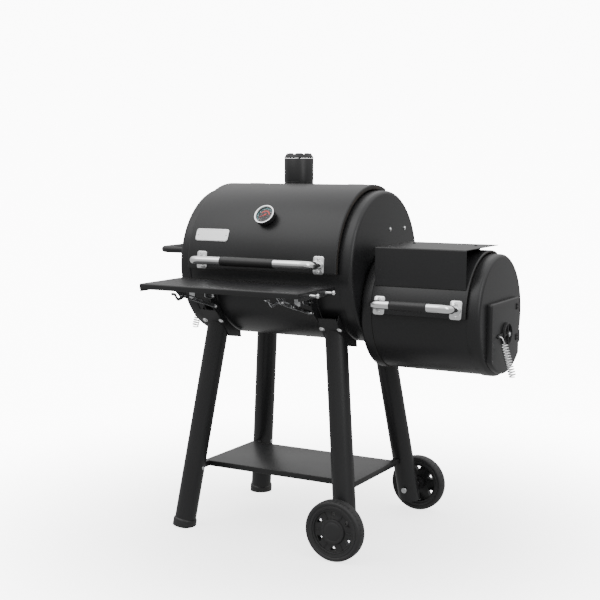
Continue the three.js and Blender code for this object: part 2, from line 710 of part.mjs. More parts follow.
// fixed halves of the door hinges, welded to the cap
function doorHingeBase(z) {
  const { x, y } = DOOR_HINGE;
  const face = fireHalf - 1;
  const arms = [-1, 1].map((s) => {
    const z0 = Math.min(z + s * 12, z + s * 20);
    return union(rod([x, y, z0], [x, y, z0 + 8], 6, 8), block(face, x, y - 4, y + 4, z0, z0 + 8));
  });
  return union(arms, rod([x, y, z - 19], [x, y, z + 19], 2.8, 8));
}
const fireRightCap = capPan(FIREBOX_R, FIREBOX_FLANGE, fireHalf)
  .subtract(slabX(doorOutline(16), fireHalf - 30, fireHalf + 30))
  .add(union(knuckleZs.map(doorHingeBase)));
node("firebox_cap_right", fireRightCap, "powder_coat", firebox);

const doorPanel = slabX(doorOutline(0), doorX, doorX + DOOR_DEPTH - 4)
  .add(slabX(doorOutline(4), doorX + DOOR_DEPTH - 5, doorX + DOOR_DEPTH))
  .subtract(slabX(doorOutline(SHEET), doorX - 5, doorX + DOOR_DEPTH - 6))
  .subtract(slabX(doorOutline(4 + SHEET), doorX - 5, doorX + DOOR_DEPTH - SHEET))
  .subtract(damperWindows(14, 29, fireHalf - 20, fireHalf + 40).translate([0, 0, DOOR_DAMPER_Z]));
const doorKnuckles = knuckleZs.map((z) =>
  union(
    rod([DOOR_HINGE.x, DOOR_HINGE.y, z - 11], [DOOR_HINGE.x, DOOR_HINGE.y, z + 11], 6, 10),
    block(DOOR_HINGE.x - 2, DOOR_HINGE.x + 2, DOOR_HALF - 1, DOOR_HINGE.y, z - 11, z + 11),
  ).subtract(rod([DOOR_HINGE.x, DOOR_HINGE.y, z - 30], [DOOR_HINGE.x, DOOR_HINGE.y, z + 30], 3.4, 8)),
);
node("firebox_door", union(doorPanel, doorKnuckles), "powder_coat", firebox);
const doorAt = [doorX + DOOR_DEPTH, 0, DOOR_DAMPER_Z];
node("door_damper_disc", damperDisc().translate(doorAt), "cast_black", firebox);
node("door_damper_spring", springHandle().translate(doorAt), "chrome", firebox);

const FIRE_GRATE_Z = -90;
const fireGrate = slottedPlate(-175, 175, -160, 160, FIRE_GRATE_Z, FIRE_GRATE_Z + 8, 8, 10, 0.55);
node("charcoal_grate", fireGrate, "cast_iron", firebox);
const ashTray = block(-170, 170, -92, 92, -165, -140).subtract(block(-168, 168, -90, 90, -163, -130));
node("ash_tray", ashTray, "zinc", firebox);

const fireLid = lidShell(FIREBOX_LID_R, FIREBOX_R + 2, FIREBOX_LID_HALF, 1.5, LID_TO, 20).add(
  FIREBOX_HINGE.leaf,
);
node("firebox_lid_shell", fireLid, "powder_coat", firebox);
const fireHandle = handleSet(FIREBOX_LID_R, 9.5, 133, 68, 14, 64, 15.5, 60, 30);
node("firebox_handle_frame", fireHandle.frame, "chrome", firebox);
node("firebox_handle_grip", fireHandle.grip, "black_resin", firebox);

// hood: an angled plate on the firebox lid, open at both ends
const HOOD = { half: 158, yFront: -190, yBack: 92, top: 1021 - FIREBOX_Z, sheet: SHEET };
const hoodFoot = Math.sqrt(FIREBOX_LID_R ** 2 - (HOOD.yFront + HOOD.sheet) ** 2) + GAP;
const hood = union(
  block(-HOOD.half, HOOD.half, HOOD.yFront, HOOD.yFront + HOOD.sheet, hoodFoot, HOOD.top),
  block(-HOOD.half, HOOD.half, HOOD.yFront, HOOD.yBack, HOOD.top - HOOD.sheet, HOOD.top),
  [-1, 1].map((s) =>
    block(s * 110 - 12, s * 110 + 12, 4, 22, FIREBOX_LID_R + GAP, HOOD.top - 1),
  ),
);
node("firebox_hood", hood, "powder_coat", firebox);

// ---- stand ---------------------------------------------------------------
function legPoint(sx, sy, z) {
  return [sx * (LEG_X_FLOOR - LEG_X_LEAN * z), sy * (LEG_Y_FLOOR - LEG_Y_LEAN * z), z];
}
// the side of the sloping web that faces away from the barrel
function webLine(t, out) {
  const dy = WEB_BOTTOM[0] - WEB_TOP[0];
  const dz = WEB_BOTTOM[1] - WEB_TOP[1];
  const length = Math.hypot(dy, dz);
  return [WEB_TOP[0] + dy * t + (out * dz) / length, WEB_TOP[1] + dz * t - (out * dy) / length];
}
function leg(sx, sy, bottom) {
  const tube = rod(legPoint(sx, sy, -60), legPoint(sx, sy, 820), LEG_R, 20).subtract(
    rod(legPoint(sx, sy, -80), legPoint(sx, sy, 840), LEG_R - LEG_WALL, 20),
  );
  const above = slabX([webLine(-1, GAP), webLine(2, GAP), [60, 400], [60, 1100]].reverse(), -500, 500);
  const behind = sy < 0 ? above : mirrorY(above);
  return tube.subtract(behind).subtract(block(-600, 600, -600, 600, -200, bottom));
}
const LEG_FOOT_GAP = 6;
const legs = [
  ["front_left", -1, -1],
  ["rear_left", -1, 1],
  ["front_right", 1, -1],
  ["rear_right", 1, 1],
];
for (const [name, sx, sy] of legs) {
  let solid = leg(sx, sy, sx < 0 ? LEG_FOOT_GAP + GAP : LEG_WHEEL_SIDE_Z);
  if (sx > 0) solid = solid.subtract(rod([WHEEL_X, 0, WHEEL_R], [WHEEL_X, sy * 400, WHEEL_R], AXLE_R + 0.5, 14));
  node("leg_" + name, solid, "powder_coat", stand);
  if (sx < 0) {
    const foot = rod(legPoint(sx, sy, -40), legPoint(sx, sy, FOOT_HEIGHT), FOOT_R, 20)
      .subtract(
        rod(legPoint(sx, sy, -60), legPoint(sx, sy, 80), LEG_R + GAP, 20).subtract(
          block(-600, 600, -600, 600, -200, LEG_FOOT_GAP),
        ),
      )
      .subtract(block(-600, 600, -600, 600, -200, 0));
    node("foot_" + name, foot, "black_resin", stand);
  }
}

// sheet channel that carries each leg under the barrel
function legBracket(withShelfPost) {
  const cheekLow = [
    webLine(0.3, 0),
    [-212, 800],
    [-130, 720],
    [-84, 694],
    [-80, 668],
    webLine(1, 0),
  ];
  const web = slabX(
    [webLine(0.17, 0), webLine(1, 0), webLine(1, -BRACKET_SHEET), webLine(0.17, -BRACKET_SHEET)],
    BRACKET_X0,
    BRACKET_X1,
  );
  const cheek = (x) => slabX(cheekLow, x, x + BRACKET_SHEET);
  const parts = [web, cheek(BRACKET_X0), cheek(BRACKET_X1 - BRACKET_SHEET)];
  if (withShelfPost) {
    const post = [
      webLine(0.35, 0),
      [-270, 800],
      [-280, 836],
      [-272, 846],
      [-240, 850],
      [-218, 800],
      [-200, 760],
    ];
    parts.push(slabX(post, BRACKET_X0, BRACKET_X0 + BRACKET_SHEET));
    parts.push(block(BRACKET_X0, BRACKET_X0 + 17, -255, -252, 806, 850));
  }
  let solid = union(parts).subtract(rod([-600, 0, BARREL_Z], [600, 0, BARREL_Z], BARREL_R + GAP, BARREL_SIDES));
  if (withShelfPost) {
    for (const [y, z] of [SHELF_PIVOT, STRUT_FOOT]) {
      const reach = z === SHELF_PIVOT[1] ? STRUT_X + 9.5 : STRUT_X + 4;
      solid = solid.add(rod([reach, y, z], [BRACKET_X0 + 6, y, z], 4, 12));
    }
  }
  return solid;
}
const frontBracket = legBracket(true);
const rearBracket = mirrorY(legBracket(false));
node("leg_bracket_front_right", frontBracket, "powder_coat", stand);
node("leg_bracket_front_left", mirrorX(frontBracket), "powder_coat", stand);
node("leg_bracket_rear_right", rearBracket, "powder_coat", stand);
node("leg_bracket_rear_left", mirrorX(rearBracket), "powder_coat", stand);

// bottom shelf: a folded tray with a tab at each corner that meets the leg
let tray = block(-TRAY_HALF_X, TRAY_HALF_X, -TRAY_HALF_Y, TRAY_HALF_Y, TRAY_Z - TRAY_FLANGE, TRAY_Z).subtract(
  block(
    -TRAY_HALF_X + 2,
    TRAY_HALF_X - 2,
    -TRAY_HALF_Y + 2,
    TRAY_HALF_Y - 2,
    TRAY_Z - TRAY_FLANGE - 5,
    TRAY_Z - 2,
  ),
);
for (const [, sx, sy] of legs) {
  const tab = block(
    Math.min(sx * 284, sx * 304),
    Math.max(sx * 284, sx * 304),
    Math.min(sy * 163, sy * 215),
    Math.max(sy * 163, sy * 215),
    TRAY_Z - TRAY_FLANGE,
    TRAY_Z,
  ).subtract(rod(legPoint(sx, sy, 100), legPoint(sx, sy, 400), LEG_R + GAP, 20));
  const pieces = tab.decompose().sort((a, b) => b.volume() - a.volume());
  tray = tray.add(pieces[0]);
}
node("bottom_shelf", tray, "powder_coat", stand);

// wheels on shouldered bolts through the two right legs
function tyre() {
  const half = WHEEL_WIDTH / 2;
  const profile = [
    [0, -half + 3],
    [RIM_R, -half + 3],
    [WHEEL_R - 8, -half + 1],
    [WHEEL_R - 2, -half + 9],
    [WHEEL_R, 0],
    [WHEEL_R - 2, half - 9],
    [WHEEL_R - 8, half - 1],
    [RIM_R, half - 3],
    [0, half - 3],
  ];
  return turnedY(profile, 32).subtract(rod([0, -60, 0], [0, 60, 0], RIM_R, 32));
}
const WHEEL_WINDOWS = 6;
function wheelHub() {
  const half = WHEEL_WIDTH / 2 - 5;
  const disc = turnedY(
    [
      [0, -half + 4],
      [RIM_R - 2.5 * GAP, -half + 4],
      [RIM_R - 2.5 * GAP, half],
      [RIM_R - 6, half],
      [RIM_R - 8, half - 7],
      [44, half - 7],
      [40, half + 1],
      [0, half + 3],
    ],
    24,
  ).subtract(
    turnedY(
      [
        [0, -half - 5],
        [RIM_R - 6, -half - 5],
        [RIM_R - 8, half - 14],
        [22, half - 14],
        [22, -half + 2],
        [0, -half + 2],
      ],
      24,
    ),
  );
  let solid = disc;
  for (let i = 0; i < WHEEL_WINDOWS; i += 1) {
    const window = slabZ([[-11, 64], [11, 64], [0, 47]], -60, 60).rotate([90, 0, 0]);
    solid = solid.subtract(window.rotate([0, (360 / WHEEL_WINDOWS) * i, 0]));
  }
  return solid.subtract(rod([0, -60, 0], [0, half - 12, 0], AXLE_R + 0.5, 10));
}
for (const [name, sy] of [["front", -1], ["rear", 1]]) {
  const outward = (solid) => (sy > 0 ? solid : mirrorY(solid));
  const tyreMesh = node("tyre_" + name, outward(tyre()), "tyre", stand);
  const hubMesh = node("wheel_hub_" + name, outward(wheelHub()), "black_resin", stand);
  for (const mesh of [tyreMesh, hubMesh]) mesh.position.set(WHEEL_X, sy * WHEEL_Y, WHEEL_R);
  const bolt = turnedY(
    [
      [0, 202],
      [9, 202],
      [9, 208],
      [AXLE_R, 208],
      [AXLE_R, 294],
      [11, 294],
      [11, WHEEL_Y - WHEEL_WIDTH / 2 + 4.5],
      [AXLE_R, WHEEL_Y - WHEEL_WIDTH / 2 + 4.5],
      [AXLE_R, WHEEL_Y + 5],
      [0, WHEEL_Y + 5],
    ],
    10,
  );
  const boltMesh = node("wheel_bolt_" + name, outward(bolt), "zinc", stand);
  boltMesh.position.set(WHEEL_X, 0, WHEEL_R);
}

// ---- folding front shelf -------------------------------------------------
const SHELF_SHEET = 2;
const shelfPan = union(
  block(-SHELF_HALF, SHELF_HALF, SHELF_Y_FRONT, SHELF_Y_BACK, SHELF_Z - SHELF_SHEET, SHELF_Z),
  block(-SHELF_HALF, SHELF_HALF, SHELF_Y_FRONT, SHELF_Y_FRONT + SHELF_SHEET, SHELF_Z - 20, SHELF_Z),
  block(-SHELF_HALF, SHELF_HALF, SHELF_Y_BACK - SHELF_SHEET, SHELF_Y_BACK, SHELF_Z - 20, SHELF_Z),
  block(-SHELF_HALF, -SHELF_HALF + SHELF_SHEET, SHELF_Y_FRONT, SHELF_Y_BACK, SHELF_Z - 27, SHELF_Z),
  block(SHELF_HALF - SHELF_SHEET, SHELF_HALF, SHELF_Y_FRONT, SHELF_Y_BACK, SHELF_Z - 27, SHELF_Z),
);
node("front_shelf", shelfPan, "powder_coat", stand);

// chrome tool pegs on the right edge of the shelf
for (const [name, y] of [["front", -466], ["rear", -362]]) {
  const peg = turnedX(
    [[0, 0], [4, 0], [4, 22], [7, 24], [7.5, 28], [5, 31.5], [0, 32.5]],
    10,
  ).translate([SHELF_HALF + GAP, y, SHELF_Z - 14.5]);
  node("tool_peg_" + name, peg, "chrome", stand);
}

// stamped arm under the shelf: hangs on the bracket pivot and holds the head of the strut
const ARM_X0 = STRUT_X + 10.5;
const ARM_X1 = STRUT_X + 13;
const shelfArm = union(
  slabX(
    [
      [-320, 838],
      [-280, 826],
      [-262, 826],
      [-260, 840],
      [-268, 852],
      [-299.5, 862],
      [-299.5, SHELF_Z - SHELF_SHEET - GAP],
      [-320, SHELF_Z - SHELF_SHEET - GAP],
    ].reverse(),
    ARM_X0,
    ARM_X1,
  ),
  slabX(
    [[-495, 876], [-310, 872], [-310, SHELF_Z - SHELF_SHEET - GAP], [-495, SHELF_Z - SHELF_SHEET - GAP]],
    ARM_X0,
    ARM_X1,
  ),
  slabX([[-495, 880], [-466, 852], [-453, 846], [-442, 852], [-425, 880]], ARM_X0, ARM_X1),
)
  .subtract(rod([ARM_X0 - 5, ...SHELF_PIVOT], [ARM_X1 + 5, ...SHELF_PIVOT], 4.6, 12))
  .add(rod([STRUT_X - 5, ...STRUT_HEAD], [ARM_X1 + 3, ...STRUT_HEAD], 4, 12));
// strut: a bar on the bracket and a slotted bar on the shelf that slide past each other
const strutWay = [STRUT_HEAD[0] - STRUT_FOOT[0], STRUT_HEAD[1] - STRUT_FOOT[1]];
const strutLength = Math.hypot(...strutWay);
const along = (from, distance, sign) => [
  from[0] + (sign * strutWay[0] * distance) / strutLength,
  from[1] + (sign * strutWay[1] * distance) / strutLength,
];
const strutLower = flatBar([STRUT_FOOT, along(STRUT_FOOT, 122, 1)], 13, STRUT_X + 5, STRUT_X + 7.6).subtract(
  rod([STRUT_X, ...STRUT_FOOT], [STRUT_X + 20, ...STRUT_FOOT], 4.5, 12),
);
const slotFrom = along(STRUT_HEAD, 30, -1);
const slotTo = along(STRUT_HEAD, 104, -1);
const strutUpper = flatBar([STRUT_HEAD, along(STRUT_HEAD, 112, -1)], 15, STRUT_X + 1.6, STRUT_X + 4.4)
  .subtract(flatBar([slotFrom, slotTo], 5.5, STRUT_X, STRUT_X + 6))
  .subtract(rod([STRUT_X - 5, ...STRUT_HEAD], [STRUT_X + 20, ...STRUT_HEAD], 4.5, 12));
const lever = flatBar(
  [STRUT_HEAD, [-478, 850], [-494, 846], [-503, 854], [-512, 866], [-528, 868]],
  8,
  STRUT_X - 3,
  STRUT_X,
).subtract(rod([STRUT_X - 10, ...STRUT_HEAD], [STRUT_X + 5, ...STRUT_HEAD], 4.5, 12));
const leverEye = lever.add(
  rod([STRUT_X - 3, ...STRUT_HEAD], [STRUT_X, ...STRUT_HEAD], 8, 10).subtract(
    rod([STRUT_X - 10, ...STRUT_HEAD], [STRUT_X + 5, ...STRUT_HEAD], 4.5, 12),
  ),
);
for (const [name, place] of [["right", (s) => s], ["left", mirrorX]]) {
  node("shelf_arm_" + name, place(shelfArm), "zinc", stand);
  node("strut_lower_" + name, place(strutLower), "zinc", stand);
  node("strut_upper_" + name, place(strutUpper), "zinc", stand);
  node("shelf_lever_" + name, place(leverEye), "zinc", stand);
}

// ---- put the origin under the middle of the object, on the floor ---------
smoker.updateMatrixWorld(true);
const bounds = new THREE.Box3().setFromObject(smoker, true);
const middle = bounds.getCenter(new THREE.Vector3());
smoker.position.set(-middle.x, -middle.y, -bounds.min.z);
smoker.updateMatrixWorld(true);
const product = new THREE.Group();
product.name = "product";
product.add(smoker);

export default product;
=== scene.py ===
"""Looks of the offset smoker, laid out as a Blender add-on and run as a script.

Lengths inside the mesh code are millimetres from the barrel's middle at floor level: +X towards the
firebox, -Y towards the front shelf and +Z up. Angles round a barrel run from the front over the top.
"""

import json
import math

import bmesh
import bpy
from bpy.props import FloatProperty, FloatVectorProperty, IntProperty, PointerProperty
from mathutils import Matrix, Vector


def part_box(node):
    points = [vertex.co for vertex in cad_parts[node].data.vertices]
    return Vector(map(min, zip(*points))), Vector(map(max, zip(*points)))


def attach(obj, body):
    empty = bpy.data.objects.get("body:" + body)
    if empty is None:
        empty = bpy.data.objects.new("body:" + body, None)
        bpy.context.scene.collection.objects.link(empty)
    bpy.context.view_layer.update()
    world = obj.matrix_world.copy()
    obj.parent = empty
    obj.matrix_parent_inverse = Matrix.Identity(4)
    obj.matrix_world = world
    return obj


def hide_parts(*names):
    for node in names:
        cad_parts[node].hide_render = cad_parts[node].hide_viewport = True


bl_info = {
    "name": "Offset smoker",
    "version": (1, 0, 0),
    "blender": (4, 5, 0),
    "location": "3D View > Sidebar > Smoker",
    "description": "Builds the looks of an offset smoker on its packed frame",
    "category": "Object",
}

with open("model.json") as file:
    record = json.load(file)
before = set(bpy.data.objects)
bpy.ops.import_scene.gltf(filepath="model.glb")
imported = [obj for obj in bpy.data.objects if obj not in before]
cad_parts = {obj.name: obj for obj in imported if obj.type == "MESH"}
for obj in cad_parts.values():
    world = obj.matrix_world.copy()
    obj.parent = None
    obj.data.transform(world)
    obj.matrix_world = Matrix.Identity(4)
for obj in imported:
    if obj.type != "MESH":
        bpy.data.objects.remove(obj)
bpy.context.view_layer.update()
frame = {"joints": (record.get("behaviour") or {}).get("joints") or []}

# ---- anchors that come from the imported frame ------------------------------
LEFT_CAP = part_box("end_cap_left")
RIGHT_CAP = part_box("end_cap_right")
ORIGIN = Vector(((LEFT_CAP[0].x + RIGHT_CAP[1].x) / 2, (LEFT_CAP[0].y + LEFT_CAP[1].y) / 2, 0))


def box(node):
    """The low and high corners of a frame node, in millimetres from the origin above."""
    return [(corner - ORIGIN) * 1000 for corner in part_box(node)]


def centre(node):
    low, high = box(node)
    return (low + high) / 2


def joint(name):
    """A joint's pivot, in the same millimetres."""
    for entry in frame["joints"]:
        if entry["name"] == name:
            return (Vector(entry["pos_m"]) - ORIGIN) * 1000
    raise ValueError("the frame has no joint " + name)


BARREL_R = (box("end_cap_left")[1].y - box("end_cap_left")[0].y) / 2
BARREL_Z = centre("end_cap_left").z
BARREL_HALF = box("end_cap_right")[1].x
FIRE_R = (box("firebox_cap_left")[1].y - box("firebox_cap_left")[0].y) / 2
FIRE_Z = centre("firebox_cap_left").z
FIRE_X0 = box("firebox_cap_left")[0].x
FIRE_X = centre("firebox_lid_shell").x
FIRE_X1 = 2 * FIRE_X - FIRE_X0
LID_FROM, LID_TO = -1.6, 110.0  # where a lid starts and ends, in degrees up from the front
FIRE_LID_FROM = 1.5
HINGE_ANGLE = 114.0
LID_HINGES_X = (-200, 200)

# ---- fixed places and sizes, in millimetres -----------------------------------
PASSAGE_R, PASSAGE_Z = 98, 800
VENT_INNER, VENT_OUTER, VENT_SPREAD, VENT_FIRST = 14, 29, 24, 45  # radii, then degrees
COIL_RADIUS, COIL_LENGTH, COIL_LEAN = 12.5, 112.0, 17
DAMPER_ARM = -78  # Y of the hook's eye, from the damper's screw
DOOR_KNUCKLES_Z = (818, 715)
DOOR_DEPTH = 16
LEG_AT_FLOOR = (327.5, 264)  # X and Y of a leg's centre line at the floor
LEG_LEAN = (0.1274, 0.1303)  # how far it leans in, for each unit of height
LEG_WALL = 2
WEB_TOP, WEB_BOTTOM = (-256, 800), (-160, 682)  # Y and Z of the front bracket's sloping web
BRACKET_X0, BRACKET_X1, BRACKET_SHEET = 197, 270, 3.0
TRAY_HALF_X, TRAY_HALF_Y = 306, 165
AXLE_X, AXLE_Z = 320, 102
RIM_R = 76
SHELF_PIVOT = (-272, 836)  # Y and Z, like the two places below
STRUT_FOOT = (-262, 800)
STRUT_HEAD = (-453, 856)
CORNERS = (("front_left", -1, -1), ("rear_left", -1, 1), ("front_right", 1, -1), ("rear_right", 1, 1))


# ---- shader maths ----------------------------------------------------------
class Value:
    """A node's output that takes part in Python expressions; each operator adds a Math node."""

    def __init__(self, shader, socket):
        self.shader = shader
        self.socket = socket

    def _math(self, operation, first, second=None):
        values = {0: first} if second is None else {0: first, 1: second}
        return self.shader.node("Math", {"operation": operation}, values)

    def __add__(self, other):
        return self._math("ADD", self, other)

    def __radd__(self, other):
        return self._math("ADD", other, self)

    def __sub__(self, other):
        return self._math("SUBTRACT", self, other)

    def __rsub__(self, other):
        return self._math("SUBTRACT", other, self)

    def __mul__(self, other):
        return self._math("MULTIPLY", self, other)

    def __rmul__(self, other):
        return self._math("MULTIPLY", other, self)

    def __truediv__(self, other):
        return self._math("DIVIDE", self, other)

    def __pow__(self, other):
        return self._math("POWER", self, other)

    def between(self, low, high):
        """0 below low, 1 above high, smooth between them."""
        settings = {"interpolation_type": "SMOOTHSTEP"}
        return self.shader.node("MapRange", settings, {"Value": self, "From Min": low, "From Max": high})


class Shader:
    """A procedural material under construction."""

    def __init__(self, name):
        self.material = bpy.data.materials.new(name)
        self.material.use_nodes = True
        self.tree = self.material.node_tree
        self.tree.nodes.clear()
        self.output = self.tree.nodes.new("ShaderNodeOutputMaterial")
        self.place = self.node("TexCoord", {}, {}, "Object")

    def node(self, kind, settings, values, output=0):
        made = self.tree.nodes.new("ShaderNode" + kind)
        stops = settings.pop("stops", None)
        for key, setting in settings.items():
            setattr(made, key, setting)
        if stops:
            ramp = made.color_ramp
            while len(ramp.elements) < len(stops):
                ramp.elements.new(0.5)
            for element, (position, shade) in zip(ramp.elements, stops):
                element.position = position
                element.color = (shade, shade, shade, 1)
        for key, value in values.items():
            socket = self.input(made, key)
            if isinstance(value, Value):
                self.tree.links.new(value.socket, socket)
            elif socket.type == "RGBA" and len(value) == 3:
                socket.default_value = (*value, 1)
            else:
                socket.default_value = value
        return Value(self, made.outputs[output])

    @staticmethod
    def input(made, key):
        if isinstance(key, int):
            return made.inputs[key]
        for socket in made.inputs:
            if socket.name == key and socket.enabled:
                return socket
        raise KeyError(made.bl_idname + " has no socket " + key)

    def noise(self, scale, detail=3.0, roughness=0.55, place=None, distortion=0.0):
        values = {
            "Vector": place or self.place,
            "Scale": scale,
            "Detail": detail,
            "Roughness": roughness,
            "Distortion": distortion,
        }
        return self.node("TexNoise", {}, values)

    def stretched(self, x, y, z):
        return self.node("Mapping", {}, {"Vector": self.place, "Scale": (x, y, z)})

    def mix(self, factor, first, second):
        settings = {"data_type": "RGBA"}
        made = self.node("Mix", settings, {"Factor": factor, "A": first, "B": second}, 2)
        return made

    def ramp(self, factor, *stops):
        return self.node("ValToRGB", {"stops": stops}, {"Fac": factor})

    def edges(self, reach=0.0012, low=0.02, high=0.2):
        """1 along edges and corners, where the surface turns within reach metres."""
        rounded = self.node("Bevel", {"samples": 4}, {"Radius": reach})
        plain = self.node("NewGeometry", {}, {}, "Normal")
        along = self.node("VectorMath", {"operation": "DOT_PRODUCT"}, {0: rounded, 1: plain}, "Value")
        return (1 - along).between(low, high)

    def upward(self):
        normal = self.node("NewGeometry", {}, {}, "Normal")
        return self.node("SeparateXYZ", {}, {"Vector": normal}, 2).between(0.3, 1.0)

    def bump(self, height, strength, distance, under=None):
        values = {"Height": height, "Strength": strength, "Distance": distance}
        if under is not None:
            values["Normal"] = under
        return self.node("Bump", {}, values)

    def finish(self, constants, varying):
        made = self.node("BsdfPrincipled", {}, {**constants, **varying})
        self.tree.links.new(made.socket, self.output.inputs["Surface"])
        return self.material


# ---- finishes --------------------------------------------------------------
def powder_coat(name, colour, roughness, dust=0.25):
    """Baked satin paint: fine orange peel, faint mottling, dust on top faces and rubbed edges."""
    shader = Shader(name)
    mottle = shader.noise(4, 3, 0.5)
    fine = shader.noise(1400, 2, 0.5)
    peel = shader.noise(420, 2, 0.5)
    rubbed = shader.edges() * shader.noise(60, 3, 0.7).between(0.4, 0.7)
    dusty = shader.upward() * shader.noise(18, 5, 0.7).between(0.42, 0.75) * dust
    base = shader.mix(mottle, tuple(c * 0.8 for c in colour), tuple(c * 1.25 for c in colour))
    base = shader.mix(dusty * 0.3, base, (0.1, 0.098, 0.095))
    base = shader.mix(rubbed * 0.4, base, (0.06, 0.06, 0.062))
    rough = roughness + (mottle - 0.5) * 0.1 + dusty * 0.2 + (fine - 0.5) * 0.06
    relief = shader.bump(peel, 0.1, 0.0003, shader.bump(fine, 0.08, 0.0002))
    constants = {"Specular IOR Level": 0.38}
    return shader.finish(constants, {"Base Color": base, "Roughness": rough, "Normal": relief})


def sooted_steel(name):
    """The inside of the smoker: steel gone brown-black with soot and grease."""
    shader = Shader(name)
    soot = shader.noise(14, 6, 0.7)
    grain = shader.noise(300, 3, 0.6)
    base = shader.mix(soot.between(0.35, 0.7), (0.012, 0.0105, 0.0095), (0.035, 0.027, 0.021))
    rough = 0.62 + (soot - 0.5) * 0.4
    relief = shader.bump(soot + grain * 0.3, 0.3, 0.0008)
    return shader.finish({}, {"Base Color": base, "Roughness": rough, "Normal": relief})


def polished_chrome(name, colour):
    """Bright plating with faint smears and a slight waviness."""
    shader = Shader(name)
    smear = shader.noise(40, 5, 0.65)
    wave = shader.noise(55, 2, 0.5)
    base = shader.mix(smear, tuple(c * 0.94 for c in colour), colour)
    rough = 0.07 + smear.between(0.45, 0.8) * 0.12
    relief = shader.bump(wave, 0.04, 0.001)
    constants = {"Metallic": 1.0}
    return shader.finish(constants, {"Base Color": base, "Roughness": rough, "Normal": relief})


def zinc_plate(name, colour):
    """Dull bright plating on pressed steel, blotchy, with drawn lines."""
    shader = Shader(name)
    blotch = shader.noise(90, 5, 0.6)
    drawn = shader.noise(600, 2, 0.6, shader.stretched(1, 0.06, 1))
    worn = shader.edges()
    base = shader.mix(blotch, tuple(c * 0.78 for c in colour), colour)
    base = shader.mix(worn * 0.4, base, (0.8, 0.81, 0.82))
    rough = 0.3 + (blotch - 0.5) * 0.25 + (drawn - 0.5) * 0.12
    relief = shader.bump(drawn, 0.1, 0.0002)
    constants = {"Metallic": 1.0}
    return shader.finish(constants, {"Base Color": base, "Roughness": rough, "Normal": relief})


def moulded_resin(name, colour, roughness):
    """Black moulded resin with a fine spark-eroded grain."""
    shader = Shader(name)
    grain = shader.noise(1100, 3, 0.6)
    cloud = shader.noise(22, 4, 0.6)
    rubbed = shader.edges()
    base = shader.mix(cloud, tuple(c * 0.75 for c in colour), tuple(c * 1.3 for c in colour))
    base = shader.mix(rubbed * 0.25, base, (0.09, 0.09, 0.092))
    rough = roughness + (cloud - 0.5) * 0.18 + (grain - 0.5) * 0.1
    relief = shader.bump(grain, 0.22, 0.0003)
    return shader.finish({}, {"Base Color": base, "Roughness": rough, "Normal": relief})


def casting(name, colour, roughness, grit):
    """A sand casting under thin black paint or seasoning."""
    shader = Shader(name)
    sand = shader.noise(480, 4, 0.7)
    lump = shader.noise(60, 3, 0.6)
    rubbed = shader.edges()
    base = shader.mix(lump, tuple(c * 0.7 for c in colour), tuple(c * 1.4 for c in colour))
    base = shader.mix(rubbed * 0.3, base, (0.12, 0.115, 0.11))
    rough = roughness + (sand - 0.5) * 0.3
    relief = shader.bump(sand + lump * 0.6, grit, 0.0006)
    constants = {"Metallic": 0.15}
    return shader.finish(constants, {"Base Color": base, "Roughness": rough, "Normal": relief})


def bright_plate(name, colour):
    """Brushed bright plate with fine lines along its length."""
    shader = Shader(name)
    brushed = shader.noise(900, 3, 0.6, shader.stretched(0.03, 1, 1))
    cloud = shader.noise(30, 3, 0.5)
    base = shader.mix(cloud, tuple(c * 0.9 for c in colour), colour)
    rough = 0.24 + (brushed - 0.5) * 0.2
    relief = shader.bump(brushed, 0.08, 0.0002)
    constants = {"Metallic": 0.85}
    return shader.finish(constants, {"Base Color": base, "Roughness": rough, "Normal": relief})


def enamel(name, colour, roughness=0.4):
    """Printed or stoved enamel on the thermometer."""
    shader = Shader(name)
    cloud = shader.noise(120, 3, 0.5)
    speck = shader.noise(900, 2, 0.5)
    base = shader.mix(cloud, tuple(c * 0.85 for c in colour), tuple(min(1, c * 1.12) for c in colour))
    rough = roughness + (speck - 0.5) * 0.15
    relief = shader.bump(speck, 0.05, 0.0001)
    return shader.finish({}, {"Base Color": base, "Roughness": rough, "Normal": relief})


def clear_glass(name):
    """Thin clear glass: mostly see-through, with a soft reflection and faint dust."""
    shader = Shader(name)
    dust = shader.noise(260, 4, 0.7).between(0.5, 0.9)
    alpha = 0.03 + dust * 0.03
    rough = 0.03 + dust * 0.15
    base = shader.mix(dust, (0.95, 0.96, 0.96), (0.7, 0.7, 0.7))
    return shader.finish({}, {"Base Color": base, "Roughness": rough, "Alpha": alpha})


def pale_floor(name, colour, glow):
    """Seamless pale studio floor with the faintest mottling, lit from within so that it stays pale: painted
    light, with the glow weaker near the scene's origin so the floor round the middle is darker.
    """
    shader = Shader(name)
    cloud = shader.noise(1.5, 3, 0.5)
    speck = shader.noise(220, 2, 0.5)
    base = shader.mix(cloud, tuple(c * 0.99 for c in colour), colour)
    distance = shader.node("VectorMath", {"operation": "LENGTH"}, {0: shader.place}, "Value")
    # painted light and shade: the floor glows a quarter as strongly within 0.3 m of the scene's origin as
    # beyond 2.2 m, darker round the middle
    painted_glow = shader.mix(distance.between(0.3, 2.2), (0.25, 0.25, 0.25), (1, 1, 1))
    rough = 0.75 + (speck - 0.5) * 0.1
    relief = shader.bump(speck, 0.02, 0.0003)
    varying = {"Base Color": base, "Roughness": rough, "Normal": relief, "Emission Color": painted_glow}
    return shader.finish({"Emission Strength": glow}, varying)


FINISHES = {}


